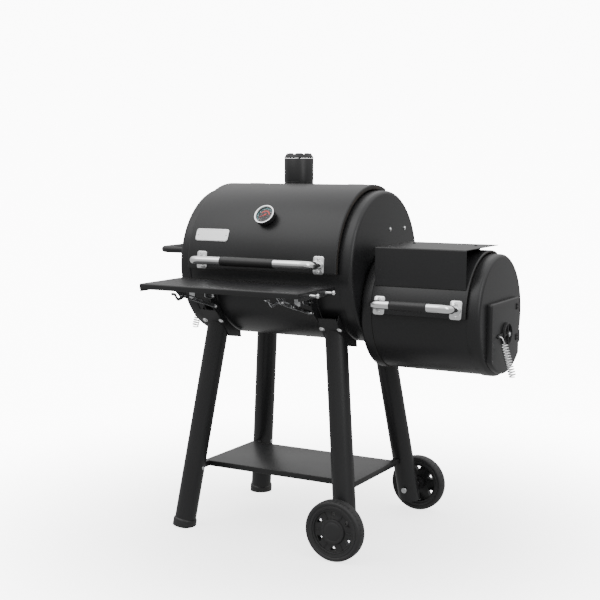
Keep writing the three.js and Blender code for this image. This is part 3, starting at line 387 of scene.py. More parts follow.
# ---- solids ----------------------------------------------------------------
class Solid:
    """Points and faces in millimetres. Each method adds one closed body."""

    def __init__(self):
        self.points = []
        self.faces = []

    def rings(self, rings, closed=False, joined=False):
        """Skins rings of equal count; a ring of one point is a tip; joined closes last to first."""
        starts = []
        for ring in rings:
            starts.append((len(self.points), len(ring)))
            self.points.extend(Vector(p) for p in ring)
        pairs = list(zip(starts, starts[1:]))
        if joined:
            pairs.append((starts[-1], starts[0]))
        for (a, na), (b, nb) in pairs:
            count = max(na, nb)
            for i in range(count):
                j = (i + 1) % count
                if na == 1:
                    self.faces.append((a, b + j, b + i))
                elif nb == 1:
                    self.faces.append((a + i, a + j, b))
                else:
                    self.faces.append((a + i, a + j, b + j, b + i))
        if not joined:
            for (a, na), turn in ((starts[0], -1), (starts[-1], 1)):
                if na > 2:
                    self.faces.append(tuple(range(a, a + na))[::turn])
        return self

    def turned(self, profile, origin, axis, sides=64):
        """A profile of (radius, height) turned about an axis; a ring profile closes on itself."""
        axis = Vector(axis).normalized()
        side = axis.orthogonal().normalized()
        other = axis.cross(side)
        origin = Vector(origin)
        rings = []
        for radius, height in profile:
            middle = origin + axis * height
            if radius < 1e-6:
                rings.append([middle])
                continue
            ring = []
            for i in range(sides):
                turn = 2 * math.pi * i / sides
                ring.append(middle + (side * math.cos(turn) + other * math.sin(turn)) * radius)
            rings.append(ring)
        return self.rings(rings, joined=len(rings[0]) > 1 and len(rings[-1]) > 1)

    def rod(self, start, end, radius, sides=32, far_radius=None):
        start, end = Vector(start), Vector(end)
        length = (end - start).length
        far = radius if far_radius is None else far_radius
        profile = [(0, 0), (radius, 0), (far, length), (0, length)]
        return self.turned(profile, start, end - start, sides)

    def swept(self, path, radius, sides=20):
        """A round bar along a path; radius is a number or one number for each point."""
        path = [Vector(p) for p in path]
        radii = radius if isinstance(radius, (list, tuple)) else [radius] * len(path)
        side = (path[1] - path[0]).orthogonal().normalized()
        rings = []
        for i, point in enumerate(path):
            ahead = path[min(i + 1, len(path) - 1)] - path[max(i - 1, 0)]
            ahead.normalize()
            side = (side - ahead * side.dot(ahead)).normalized()
            other = ahead.cross(side)
            ring = []
            for k in range(sides):
                turn = 2 * math.pi * k / sides
                ring.append(point + (side * math.cos(turn) + other * math.sin(turn)) * radii[i])
            rings.append(ring)
        return self.rings(rings)

    def prism(self, outline, low, high, place):
        """A flat outline of (u, v) points pushed from w = low to w = high; place maps (u, v, w)."""
        return self.rings([[place(u, v, w) for u, v in outline] for w in (low, high)])

    def slab(self, outline, x0, x1):
        """An outline of (y, z) points pushed along X."""
        return self.prism(outline, x0, x1, lambda u, v, w: (w, u, v))

    def block(self, x0, x1, y0, y1, z0, z1):
        return self.prism([(x0, y0), (x1, y0), (x1, y1), (x0, y1)], z0, z1, lambda u, v, w: (u, v, w))

    def arc(self, inner, outer, start, end, x0, x1, axis_z, steps=48):
        """Part of a ring about a barrel's axis, between two angles."""
        outline = []
        for i in range(steps + 1):
            outline.append(on_arc(outer, start + (end - start) * i / steps, axis_z))
        if inner > 0:
            for i in range(steps, -1, -1):
                outline.append(on_arc(inner, start + (end - start) * i / steps, axis_z))
        else:
            outline.append((0, axis_z))
        return self.slab(outline, x0, x1)

    def moved(self, matrix):
        self.points = [matrix @ p for p in self.points]
        return self

    def add(self, other):
        start = len(self.points)
        self.points.extend(other.points)
        self.faces.extend(tuple(i + start for i in face) for face in other.faces)
        return self


def on_arc(radius, degrees, axis_z=0.0):
    """Y and Z of a point round a barrel."""
    turn = math.radians(degrees)
    return (-radius * math.cos(turn), axis_z + radius * math.sin(turn))


def bent(points, radius, steps=8):
    """A path of points with each corner replaced by a smooth bend."""
    points = [Vector(p) for p in points]
    path = [points[0]]
    for before, corner, after in zip(points, points[1:], points[2:]):
        back = (before - corner).normalized()
        ahead = (after - corner).normalized()
        half = back.angle(ahead) / 2
        reach = radius / math.tan(half)
        middle = corner + (back + ahead).normalized() * (radius / math.sin(half))
        start = corner + back * reach - middle
        end = corner + ahead * reach - middle
        for k in range(steps + 1):
            path.append(middle + start.slerp(end, k / steps).normalized() * radius)
    path.append(points[-1])
    return path


def rounded_rectangle(half_u, half_v, corner, steps=6):
    outline = []
    for su, sv, first in ((1, 1, 0), (-1, 1, 90), (-1, -1, 180), (1, -1, 270)):
        for i in range(steps + 1):
            turn = math.radians(first + 90 * i / steps)
            u = su * (half_u - corner) + corner * math.cos(turn)
            outline.append((u, sv * (half_v - corner) + corner * math.sin(turn)))
    return outline


def to_bmesh(solid, soft=0.0, segments=2):
    """The solid in metres in the frame's place, its sharp edges rounded by soft millimetres."""
    made = bmesh.new()
    vertices = [made.verts.new(ORIGIN + p / 1000) for p in solid.points]
    for face in solid.faces:
        made.faces.new([vertices[i] for i in face])
    bmesh.ops.recalc_face_normals(made, faces=made.faces)
    if soft:
        sharp = [e for e in made.edges if e.is_manifold and e.calc_face_angle(0) > math.radians(32)]
        bmesh.ops.bevel(
            made, geom=sharp, offset=soft / 1000, segments=segments, profile=0.5, affect="EDGES"
        )
    return made


def to_object(name, made):
    mesh = bpy.data.meshes.new(name)
    made.to_mesh(mesh)
    made.free()
    shape = bpy.data.objects.new(name, mesh)
    bpy.context.scene.collection.objects.link(shape)
    return shape


def carve(shape, tools, operation="DIFFERENCE"):
    """Cuts solids from an object, or joins them to it, and keeps the result as its mesh."""
    for tool in tools:
        cutter = to_object("tool", to_bmesh(tool))
        change = shape.modifiers.new("cut", "BOOLEAN")
        change.operation = operation
        change.solver = "EXACT"
        change.object = cutter
        graph = bpy.context.evaluated_depsgraph_get()
        result = bpy.data.meshes.new_from_object(shape.evaluated_get(graph))
        shape.modifiers.clear()
        old = shape.data
        shape.data = result
        bpy.data.meshes.remove(old)
        bpy.data.objects.remove(cutter)
    return shape


def piece(name, solid, body, finish, node=None, soft=0.0, segments=2, cuts=(), edge=0.0, inner=None):
    """Makes a finished piece: rounded, cut, painted and riding on its body.

    node is the frame node it stands for; edge rounds what the cuts left; inner is a test of a face's
    middle and normal in millimetres with the finish that such faces take.
    """
    shape = carve(to_object(name, to_bmesh(solid, soft, segments)), cuts)
    mesh = shape.data
    mesh.name = name
    mesh.materials.clear()
    mesh.materials.append(FINISHES[finish])
    for face in mesh.polygons:
        face.use_smooth = True
        face.material_index = 0
    if inner:
        test, inside = inner
        mesh.materials.append(FINISHES[inside])
        for face in mesh.polygons:
            if test((face.center - ORIGIN) * 1000, face.normal):
                face.material_index = 1
    mesh.set_sharp_from_angle(angle=math.radians(38))
    if edge:
        round_off = shape.modifiers.new("edge", "BEVEL")
        round_off.width = edge / 1000
        round_off.segments = 2
        round_off.limit_method = "ANGLE"
        round_off.angle_limit = math.radians(38)
        round_off.harden_normals = False
    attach(shape, body)
    if node:
        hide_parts(*([node] if isinstance(node, str) else node))
    return shape


def facing_axis(axis_z, x_flat=None):
    """Test for the faces that look at a barrel's axis, or inwards along X."""

    def test(middle, normal):
        out = Vector((0, middle.y, middle.z - axis_z))
        if abs(normal.x) > 0.7:
            return x_flat is not None and (normal.x > 0) == (x_flat > 0)
        return normal.dot(out) < 0

    return test


def bolt(solid, origin, axis, radius, kind="dome"):
    """A bolt head standing on a face: domed with a washer, or hexagonal."""
    if kind == "dome":
        profile = [(0, 0), (radius * 1.35, 0), (radius * 1.35, 1.2), (radius * 1.28, 1.5), (radius, 1.5)]
        for k in range(6):
            turn = math.radians(90 * k / 5)
            profile.append((radius * math.cos(turn) if k < 5 else 0, 1.6 + radius * 0.55 * math.sin(turn)))
        solid.turned(profile, origin, axis, 28)
    else:
        washer = [(0, 0), (radius * 1.5, 0), (radius * 1.5, 1.4), (0, 1.4)]
        solid.turned(washer, origin, axis, 28)
        head = [(0, 1.4), (radius, 1.4), (radius, radius * 0.75), (radius * 0.88, radius * 0.86)]
        solid.turned(head + [(0, radius * 0.86)], origin, axis, 6)
    return solid


class Sizes:
    """A property group's values, with lengths in millimetres and angles in degrees."""

    def __init__(self, group):
        for prop in group.bl_rna.properties:
            if prop.identifier in ("rna_type", "name"):
                continue
            value = getattr(group, prop.identifier)
            if prop.type == "FLOAT" and prop.unit == "LENGTH":
                value *= 1000
            if prop.type == "FLOAT" and prop.unit == "ROTATION":
                value = math.degrees(value)
            setattr(self, prop.identifier, tuple(value) if getattr(prop, "is_array", False) else value)


def length(name, description, millimetres):
    return FloatProperty(
        name=name, description=description, default=millimetres / 1000, min=0.0, unit="LENGTH"
    )


def angle(name, description, degrees):
    return FloatProperty(
        name=name, description=description, default=math.radians(degrees), unit="ROTATION",
    )


def number(name, description, value):
    return IntProperty(name=name, description=description, default=value, min=1)


def share(name, description, value):
    return FloatProperty(
        name=name, description=description, default=value, min=0.0, max=1.0, subtype="FACTOR",
    )


def colour(name, description, value):
    return FloatVectorProperty(
        name=name, description=description, default=value, min=0.0, max=1.0, size=3, subtype="COLOR"
    )


# ---- what a user would change ----------------------------------------------
class FinishSettings(bpy.types.PropertyGroup):
    coat: colour("Powder coat", "Colour of the satin paint", (0.014, 0.014, 0.0148))
    coat_roughness: share("Coat roughness", "How dull the satin paint is", 0.36)
    chrome: colour("Chrome", "Colour of the bright plating", (0.86, 0.865, 0.87))
    zinc: colour("Zinc", "Colour of the dull plating", (0.6, 0.61, 0.62))
    resin: colour("Resin", "Colour of grips, hubs and feet", (0.013, 0.013, 0.0135))
    dust: share("Dust", "How much dust lies on top faces", 0.12)


class ChamberSizes(bpy.types.PropertyGroup):
    corner: length("Cap corner", "Radius between the face and the flange of an end cap", 14)
    flange: length("Cap flange", "Length of the end cap's flange", 46)
    shell: length("Shell radius", "Outside radius of the rolled barrel", 257.5)
    sheet: length("Sheet", "Thickness of the rolled sheet", 2.5)
    grate_bar: length("Grate bar", "Width of a bar of the cooking grate", 7)
    handle_bar: length("Side bar radius", "Radius of the carrying bar's tube", 11.5)
    vents: number("Vents", "Windows in a damper", 4)


class LidSizes(bpy.types.PropertyGroup):
    radius: length("Lid radius", "Outside radius of the main lid", 280)
    skirt: length("Skirt radius", "Inner radius of the lid's end walls", 262)
    rounding: length("Rounding", "Rounding of the lid's long edges", 5)
    tube: length("Handle tube", "Radius of the handle tube", 14)
    grip: length("Grip", "Radius of the handle's grip", 15.5)
    standoff: length("Standoff", "From the lid to the handle's middle", 75)
    handle_angle: angle("Handle angle", "Where the handle stands, up from the front", 4.6)


class GaugeSizes(bpy.types.PropertyGroup):
    angle: angle("Angle", "Where the thermometer stands, up from the front", 36.7)
    radius: length("Radius", "Outside radius of the bezel", 36.3)
    face: length("Face", "From the barrel's axis to the bezel's front", 308)
    ticks: number("Ticks", "Marks round the dial", 28)


class ChimneySizes(bpy.types.PropertyGroup):
    wall: length("Wall", "Thickness of the chimney tube", 2)
    notches: number("Notches", "Notches round the crown", 8)
    ribs: number("Ribs", "Rolled ribs round the tube", 4)


class FireboxSizes(bpy.types.PropertyGroup):
    corner: length("Cap corner", "Radius between the face and the flange of an end cap", 14)
    shell: length("Shell radius", "Outside radius of the firebox barrel", 197.5)
    lid: length("Lid radius", "Outside radius of the firebox lid", 211)
    door_half: length("Door half width", "Half the width of the door", 131)
    door_round: length("Door round", "Radius of the door's lower edge", 190)
    coil_turns: number("Coil turns", "Turns of a damper handle's coil", 13)
    coil_wire: length("Coil wire", "Radius of the coil's wire", 2.1)


class StandSizes(bpy.types.PropertyGroup):
    leg: length("Leg radius", "Outside radius of a leg", 38)
    foot: length("Foot radius", "Outside radius of a foot", 42)
    tray_flange: length("Tray flange", "Depth of the bottom shelf's flange", 20)
    hub_windows: number("Hub windows", "Windows in a wheel's hub", 6)
    treads: number("Treads", "Tread blocks round a tyre", 40)


class ShelfSizes(bpy.types.PropertyGroup):
    roll: length("Edge roll", "Radius of the shelf's rolled edges", 5)
    flange: length("Flange", "Depth of the shelf's flange", 20)


class StageSettings(bpy.types.PropertyGroup):
    floor: colour("Floor", "Colour of the studio floor", (0.93, 0.93, 0.93))
    key: FloatProperty(
        name="Key light", description="Power of the large overhead light", default=46, unit="POWER",
    )
    side: FloatProperty(
        name="Side light", description="Power of the long side light", default=35, unit="POWER",
    )
    glow: FloatProperty(
        name="Floor glow", description="How much the floor shines by itself", default=10.0, min=0.0,
    )
    above: FloatProperty(
        name="Overhead", description="Brightness of the surround overhead", default=1.85, min=0.0,
    )
    level: FloatProperty(
        name="Horizon", description="Brightness of the surround at the horizon", default=0.55, min=0.0,
    )


# ---- shared shapes ---------------------------------------------------------
def cap_profile(radius, flange, half, corner, sheet=2.2, steps=10):
    """Half section of a pressed end pan, from the middle of its face out and round its flange."""
    outer, inner = [(0, half)], []
    bend = corner - sheet
    for i in range(steps + 1):
        turn = math.pi / 2 * i / steps
        outer.append((radius - corner + corner * math.sin(turn), half - corner + corner * math.cos(turn)))
        inner.append((radius - sheet - bend + bend * math.sin(turn), half - corner + bend * math.cos(turn)))
    outer += [(radius, half - flange + 1.5), (radius - 0.5, half - flange)]
    return outer + [(radius - sheet, half - flange)] + inner[::-1] + [(0, half - sheet)]


def smoke_passage():
    """The hole that the smoke takes from the firebox into the barrel."""
    return Solid().rod((200, 0, PASSAGE_Z), (500, 0, PASSAGE_Z), PASSAGE_R, 64)


def windows(count, inner, outer, spread, first, place, depth):
    """Wedge windows round a centre; place maps (u, v, w)."""
    tools = []
    for i in range(count):
        middle = first + 360 / count * i
        outline = []
        for radius, sign in ((outer, 1), (inner, -1)):
            for k in range(7):
                turn = math.radians(middle + sign * spread * (k / 3 - 1))
                outline.append((radius * math.cos(turn), radius * math.sin(turn)))
        tools.append(Solid().prism(outline, -depth, depth, place))
    return tools


def hinge(shell, lid, x, axis_z):
    """The welded base and the leaf of one lid hinge."""
    py, pz = on_arc((shell + lid) / 2 + 7, HINGE_ANGLE, axis_z)
    base = Solid().arc(shell, shell + 3, HINGE_ANGLE, HINGE_ANGLE + 12, x - 30, x + 30, axis_z, 10)
    leaf = Solid().arc(lid - 0.6, lid + 3, LID_TO - 12, LID_TO - 1, x - 30, x + 30, axis_z, 10)
    fy, fz = on_arc(shell + 1, HINGE_ANGLE + 2.5, axis_z)
    ly, lz = on_arc(lid + 1, LID_TO - 2.5, axis_z)
    for part, (ay, az), first in ((base, (fy, fz), 0), (leaf, (ly, lz), 1), (base, (fy, fz), 2)):
        x0, x1 = x - 30 + 20 * first + 0.4, x - 10 + 20 * first - 0.4
        away = Vector((0, py - ay, pz - az)).normalized() * 3
        strap = [
            (ay - away.z, az + away.y),
            (py - away.z, pz + away.y),
            (py + away.z, pz - away.y),
            (ay + away.z, az - away.y),
        ]
        part.slab(strap, x0, x1)
        part.turned([(4.4, x0), (8, x0), (8, x1), (4.4, x1)], (0, py, pz), (1, 0, 0), 32)
    pin = [
        (0, -33), (5.5, -33), (6.3, -31.5), (6.3, -30.2), (3.8, -30), (3.8, 30), (5.6, 30.2), (5.6, 32),
        (0, 33),
    ]
    base.turned(pin, (x, py, pz), (1, 0, 0), 24)
    return base, leaf


def lid_shell(name, body, node, outer, skirt, half, start, end, centre_x, axis_z, rounding):
    """A raised lid: a rolled sheet with short end walls and rounded long edges."""
    sheet = 2.5
    spare = math.degrees(sheet / outer)
    block = Solid().arc(skirt, outer, start, end, centre_x - half, centre_x + half, axis_z, 84)
    shape = to_object("lid_block", to_bmesh(block, rounding, 4))
    hollow = Solid().arc(
        skirt - 60, outer - sheet, start + spare, end - spare,
        centre_x - half + sheet, centre_x + half - sheet, axis_z, 84,
    )
    carve(shape, [hollow])
    made = bmesh.new()
    made.from_mesh(shape.data)
    old = shape.data
    bpy.data.objects.remove(shape)
    bpy.data.meshes.remove(old)
    shell = Solid()
    shell.points = [(v.co - ORIGIN) * 1000 for v in made.verts]
    shell.faces = [tuple(v.index for v in f.verts) for f in made.faces]
    made.free()
    inside = (lambda m, n: n.dot(Vector((0, m.y, m.z - axis_z))) < 0, "soot")
    return piece(name, shell, body, "coat", node, inner=inside)


def handle(
    prefix, body, nodes, lid, standoff, degrees, half, grip_half, tube, grip, plate, bend, x, axis_z,
):
    """A bent bright tube on two foot plates, with a resin grip."""
    turn = Matrix.Rotation(math.radians(90 - degrees), 4, "X")
    place = Matrix.Translation((x, 0, axis_z)) @ turn
    reach = lid + standoff
    path = bent([(-half, 0, lid + 3), (-half, 0, reach), (half, 0, reach), (half, 0, lid + 3)], bend, 10)
    bar = Solid().swept(path, tube, 32)
    for s in (-1, 1):
        collar = [
            (0, lid + 2.5), (tube + 4.5, lid + 2.5), (tube + 4.5, lid + 5.5), (tube + 3, lid + 7.5),
            (0, lid + 7.5),
        ]
        bar.turned(collar, (s * half, 0, 0), (0, 0, 1), 40)
    bar.moved(place)
    piece(prefix + "_tube", bar, body, "chrome", nodes[0])
    feet = Solid()
    for s in (-1, 1):
        outline = rounded_rectangle(20, plate / 2, 8)
        sole = [(lid ** 2 - v ** 2) ** 0.5 + 0.3 for _, v in outline]
        low = [(s * half + u, v, h) for (u, v), h in zip(outline, sole)]
        high = [(s * half + u, v, h + 3.2) for (u, v), h in zip(outline, sole)]
        crown = [(s * half + u * 0.93, v * 0.955, h + 4.1) for (u, v), h in zip(outline, sole)]
        feet.rings([low, high, crown])
        for v in (-plate / 2 + 9, plate / 2 - 9):
            height = (lid ** 2 - v ** 2) ** 0.5 + 4.1
            bolt(feet, (s * half, v, height), (0, 0, 1), 4.2)
    feet.moved(place)
    piece(prefix + "_feet", feet, body, "chrome")
    section = [(tube + 0.4, -grip_half), (grip - 0.8, -grip_half), (grip, -grip_half + 1.5)]
    for i in range(1, 12):
        where = -grip_half + 2 * grip_half * i / 12
        swell = 0.0 if i in (1, 11) else 0.15
        section.append((grip + swell, where))
    section += [(grip, grip_half - 1.5), (grip - 0.8, grip_half), (tube + 0.4, grip_half)]
    sleeve = Solid().turned(section, (0, 0, reach), (1, 0, 0), 40).moved(place)
    piece(prefix + "_sleeve", sleeve, body, "resin", nodes[1])


def damper(prefix, bodies, nodes, at, outward, turns, wire, count):
    """A damper casting with its arm, centre screw, wire hook and coil; outward is +1 or -1 along X."""
    place = Matrix.Translation(at) @ Matrix.Diagonal((outward, 1, 1, 1))
    disc = Solid().turned(
        [(0, 0.3), (37, 0.3), (38, 1.3), (38, 9), (37, 10), (34, 10), (33, 9), (33, 5.5), (0, 5.5)],
        (0, 0, 0), (1, 0, 0), 72,
    ).moved(place)
    cuts = windows(count, 13, 30, 24, 45, lambda u, v, w: (at[0] + w, at[1] - u, at[2] + v), 30)
    casting_piece = piece(prefix + "_disc", disc, bodies, "cast", nodes[0], cuts=cuts, edge=0.7)
    arm = Solid()
    sides = [
        (-35, 8), (-70, 7), (-76, 6.2), (-82, 3.5), (-84.5, 0), (-82, -3.5), (-76, -6.2), (-70, -7),
        (-35, -8),
    ]
    arm.slab(sides, 0.4, 5.2)
    arm.turned([(0, 5.4), (10, 5.4), (10, 10.5), (9, 12), (0, 12)], (0, 0, 0), (1, 0, 0), 32)
    for spoke in range(count):
        turn = math.radians(360 / count * spoke)
        c, s = math.cos(turn), math.sin(turn)
        rib = [(8, -2.5), (34, -2), (34, 2), (8, 2.5)]
        arm.slab([(u * c - v * s, u * s + v * c) for u, v in rib], 5.2, 9)
    arm.moved(place)
    eye = Solid().rod((-2, DAMPER_ARM, 0), (12, DAMPER_ARM, 0), 3.2, 20).moved(place)
    piece(prefix + "_arm", arm, bodies, "cast", cuts=[eye], edge=0.6)
    screw = bolt(Solid(), (12, 0, 0), (1, 0, 0), 6.0, "dome").moved(place)
    piece(prefix + "_screw", screw, bodies, "zinc")
    top = Vector((20, -75, -18))
    lean = math.radians(COIL_LEAN)
    down = Vector((math.sin(lean), 0, -math.cos(lean)))
    side = Vector((math.cos(lean), 0, math.sin(lean)))
    back = Vector((0, 1, 0))
    hook = ((1.2, DAMPER_ARM, 0.5), (7, DAMPER_ARM, 1), (13, -77.6, 0), (17, -76.8, -4), (19, -76, -10))
    path = [Vector(point) for point in hook]
    per = 16
    total = turns * per
    for i in range(total + 1):
        turn = 2 * math.pi * i / per
        along = COIL_LENGTH * i / total
        rise = min(1.0, i / per, (total - i) / (per * 0.8) + 0.35)
        radius = (COIL_RADIUS - wire) * (0.25 + 0.75 * min(1.0, rise))
        path.append(top + down * (along + 1) + (side * math.cos(turn) + back * math.sin(turn)) * radius)
    spring = Solid().swept(path, wire, 10).moved(place)
    piece(prefix + "_coil", spring, bodies, "chrome", nodes[1])
    return casting_piece


# ---- operators: one for each group of like pieces ----------------------------
class SMOKER_OT_finishes(bpy.types.Operator):
    """Makes the materials"""

    bl_idname = "smoker.finishes"
    bl_label = "Finishes"

    def execute(self, context):
        s = Sizes(context.scene.smoker_finishes)
        FINISHES.update(
            coat=powder_coat("satin_coat", s.coat, s.coat_roughness, s.dust),
            soot=sooted_steel("sooted_steel"),
            chrome=polished_chrome("chrome_plate", s.chrome),
            zinc=zinc_plate("zinc_plate", s.zinc),
            resin=moulded_resin("black_resin", s.resin, 0.42),
            tyre=moulded_resin("tyre_resin", tuple(c * 1.2 for c in s.resin), 0.6),
            cast=casting("painted_casting", (0.017, 0.017, 0.018), 0.5, 0.25),
            iron=casting("seasoned_iron", (0.03, 0.027, 0.025), 0.6, 0.4),
            badge=bright_plate("bright_plate", (0.84, 0.845, 0.85)),
            dial=enamel("dial_black", (0.008, 0.008, 0.009), 0.5),
            white=enamel("dial_white", (0.75, 0.76, 0.76)),
            teal=enamel("dial_teal", (0.05, 0.42, 0.45)),
            red=enamel("dial_red", (0.6, 0.015, 0.012)),
            glass=clear_glass("gauge_glass"),
            floor=pale_floor(
                "studio_floor", tuple(context.scene.smoker_stage.floor),
                context.scene.smoker_stage.glow,
            ),
        )
        return {"FINISHED"}


class SMOKER_OT_cook_chamber(bpy.types.Operator):
    """Builds the barrel, its end caps and the carrying bar"""

    bl_idname = "smoker.cook_chamber"
    bl_label = "Cook chamber"

    def execute(self, context):
        s = Sizes(context.scene.smoker_chamber)
        z = BARREL_Z
        reach = BARREL_HALF - s.corner
        ring = [
            (s.shell, -reach), (s.shell, reach), (s.shell - s.sheet, reach),
            (s.shell - s.sheet, -reach),
        ]
        barrel = Solid().turned(ring, (0, 0, z), (1, 0, 0), 144)
        opening = Solid().arc(0, 400, -1, 108.5, -276, 276, z, 24)
        chimney = centre("chimney_crown")
        hole = Solid().rod((chimney.x, chimney.y, z), (chimney.x, chimney.y, z + 320), 45.8, 48)
        inside = (facing_axis(z), "soot")
        piece("barrel", barrel, "frame", "coat", "cook_box_shell", cuts=[opening, hole], inner=inside)
        bases = Solid()
        for x in LID_HINGES_X:
            bases.add(hinge(s.shell, 280, x, z)[0])
        piece("barrel_hinges", bases, "frame", "coat", edge=0.4)

        pan = cap_profile(BARREL_R, s.flange, BARREL_HALF, s.corner)
        left = Solid().turned(pan, (0, 0, z), (-1, 0, 0), 160)
        vy, vz = joint("side_damper_pivot").y, joint("side_damper_pivot").z
        cuts = windows(
            s.vents, VENT_INNER, VENT_OUTER, VENT_SPREAD, VENT_FIRST,
            lambda u, v, w: (-BARREL_HALF + w, vy - u, vz + v), 20,
        )
        inside = (facing_axis(z, 1), "soot")
        piece("cap_left", left, "frame", "coat", "end_cap_left", cuts=cuts, inner=inside)
        right = Solid().turned(pan, (0, 0, z), (1, 0, 0), 160)
        passage = smoke_passage()
        inside = (facing_axis(z, -1), "soot")
        piece("cap_right", right, "frame", "coat", "end_cap_right", cuts=[passage], inner=inside)
        ends = Solid()
        for y, bz in ((30, 1065), (147, 1063.5)):
            bolt(ends, (BARREL_HALF, y, bz), (1, 0, 0), 5.2)
            bolt(ends, (-BARREL_HALF, y, bz), (-1, 0, 0), 5.2)
        piece("rack_bolts", ends, "frame", "chrome")

        bar_z = centre("side_handle").z
        low = box("side_handle")[0]
        far = low.x + s.handle_bar
        path = bent(
            [
                (-BARREL_HALF - 2, -140, bar_z), (far, -140, bar_z), (far, 140, bar_z),
                (-BARREL_HALF - 2, 140, bar_z),
            ],
            34, 10,
        )
        bar = Solid().swept(path, s.handle_bar, 28)
        for y in (-140, 140):
            flange = [
                (0, 0.3), (20.4, 0.3), (21, 1), (21, 3.4), (20.2, 4.3), (13.5, 4.6), (12.5, 7), (0, 7),
            ]
            bar.turned(flange, (-BARREL_HALF, y, bar_z), (-1, 0, 0), 40)
        piece("carrying_bar", bar, "frame", "coat", "side_handle")
        heads = Solid()
        for y in (-140, 140):
            for v in (-16, 16):
                bolt(heads, (-BARREL_HALF - 4.3, y, bar_z + v), (-1, 0, 0), 2.9)
        piece("carrying_bar_screws", heads, "frame", "zinc")
        return {"FINISHED"}


class SMOKER_OT_grates(bpy.types.Operator):
    """Builds the cast cooking grates, the warming rack, the charcoal grate and the ash tray"""

    bl_idname = "smoker.grates"
    bl_label = "Grates and tray"

    def cast_grate(self, node, bar, count, cross):
        low, high = box(node)
        x0, x1, y0, y1, z0, z1 = low.x, high.x, low.y, high.y, low.z, high.z
        grate = Solid()
        rim = 10
        grate.block(x0, x1, y0, y0 + rim, z0, z1).block(x0, x1, y1 - rim, y1, z0, z1)
        grate.block(x0, x0 + rim, y0 + rim, y1 - rim, z0, z1)
        grate.block(x1 - rim, x1, y0 + rim, y1 - rim, z0, z1)
        for i in range(1, count):
            x = x0 + (x1 - x0) * i / count
            edge = [(x - bar / 2, z0), (x + bar / 2, z0), (x + bar / 3, z1), (x - bar / 3, z1)]
            grate.prism(edge, y0 + rim, y1 - rim, lambda u, v, w: (u, w, v))
        for i in range(1, cross):
            y = y0 + (y1 - y0) * i / cross
            grate.block(x0 + rim, x1 - rim, y - 5, y + 5, z0, z1 - 1.2)
        piece(node + "_casting", grate, "frame", "iron", node, edge=0.8)

    def execute(self, context):
        s = Sizes(context.scene.smoker_chamber)
        self.cast_grate("cooking_grate_left", s.grate_bar, 17, 4)
        self.cast_grate("cooking_grate_right", s.grate_bar, 17, 4)
        self.cast_grate("charcoal_grate", s.grate_bar + 3, 15, 3)
        low, high = box("warming_rack")
        rack = Solid()
        middle = (low.z + high.z) / 2
        loop = [
            (low.x + 3, low.y + 3), (high.x - 3, low.y + 3), (high.x - 3, high.y - 3),
            (low.x + 3, high.y - 3),
        ]
        for (ax, ay), (bx, by) in zip(loop, loop[1:] + loop[:1]):
            rack.rod((ax, ay, middle), (bx, by, middle), 2.4, 12)
        for i in range(1, 12):
            y = low.y + (high.y - low.y) * i / 12
            rack.rod((low.x + 3, y, middle + 0.6), (high.x - 3, y, middle + 0.6), 1.6, 10)
        for i in range(1, 5):
            x = low.x + (high.x - low.x) * i / 5
            rack.rod((x, low.y + 3, middle - 1.2), (x, high.y - 3, middle - 1.2), 1.3, 10)
        piece("rack_wires", rack, "frame", "chrome", "warming_rack")
        low, high = box("ash_tray")
        tray = Solid().block(low.x, high.x, low.y, high.y, low.z, high.z)
        hollow = Solid().block(
            low.x + 1.5, high.x - 1.5, low.y + 1.5, high.y - 1.5, low.z + 1.5, high.z + 20,
        )
        piece("ash_pan", tray, "frame", "zinc", "ash_tray", soft=1.2, cuts=[hollow])
        return {"FINISHED"}


class SMOKER_OT_main_lid(bpy.types.Operator):
    """Builds the main lid with its hinge leaves, handle and plain plate"""

    bl_idname = "smoker.main_lid"
    bl_label = "Main lid"

    def execute(self, context):
        s = Sizes(context.scene.smoker_lid)
        z = BARREL_Z
        half = box("main_lid_shell")[1].x
        lid_shell(
            "lid", "main_lid", "main_lid_shell", s.radius, s.skirt, half, LID_FROM, LID_TO, 0, z,
            s.rounding,
        )
        leaves = Solid()
        for x in LID_HINGES_X:
            leaves.add(hinge(257.5, s.radius, x, z)[1])
        piece("lid_hinges", leaves, "main_lid", "coat", edge=0.4)
        handle(
            "lid_handle", "main_lid", ("lid_handle_frame", "lid_handle_grip"), s.radius, s.standoff,
            s.handle_angle, 228, 103, s.tube, s.grip, 60, 34, 0, z,
        )
        turn = Matrix.Rotation(math.radians(90 - 22.5), 4, "X")
        place = Matrix.Translation((-199, 0, z)) @ turn
        plate = Solid()
        rims = ((1.0, 0.3), (1.0, 2.6), (0.985, 3.3), (0.955, 3.3), (0.945, 2.4))
        rings = []
        for scale, lift in rims:
            inset = 66 * (1 - scale)
            flat = rounded_rectangle(66 - inset, 22 - inset, 9 - inset * 0.6)
            rings.append([(u, v, (s.radius ** 2 - v ** 2) ** 0.5 + lift) for u, v in flat])
        plate.rings(rings).moved(place)
        piece("name_plate", plate, "main_lid", "badge", "plain_plate")
        rivets = Solid()
        for u in (-57, 57):
            rivets.turned(
                [(0, 2), (2.4, 2), (2.2, 3), (1.3, 3.7), (0, 3.9)], (u, 0, s.radius + 0.4), (0, 0, 1),
                20,
            )
        rivets.moved(place)
        piece("name_plate_rivets", rivets, "main_lid", "chrome")
        return {"FINISHED"}


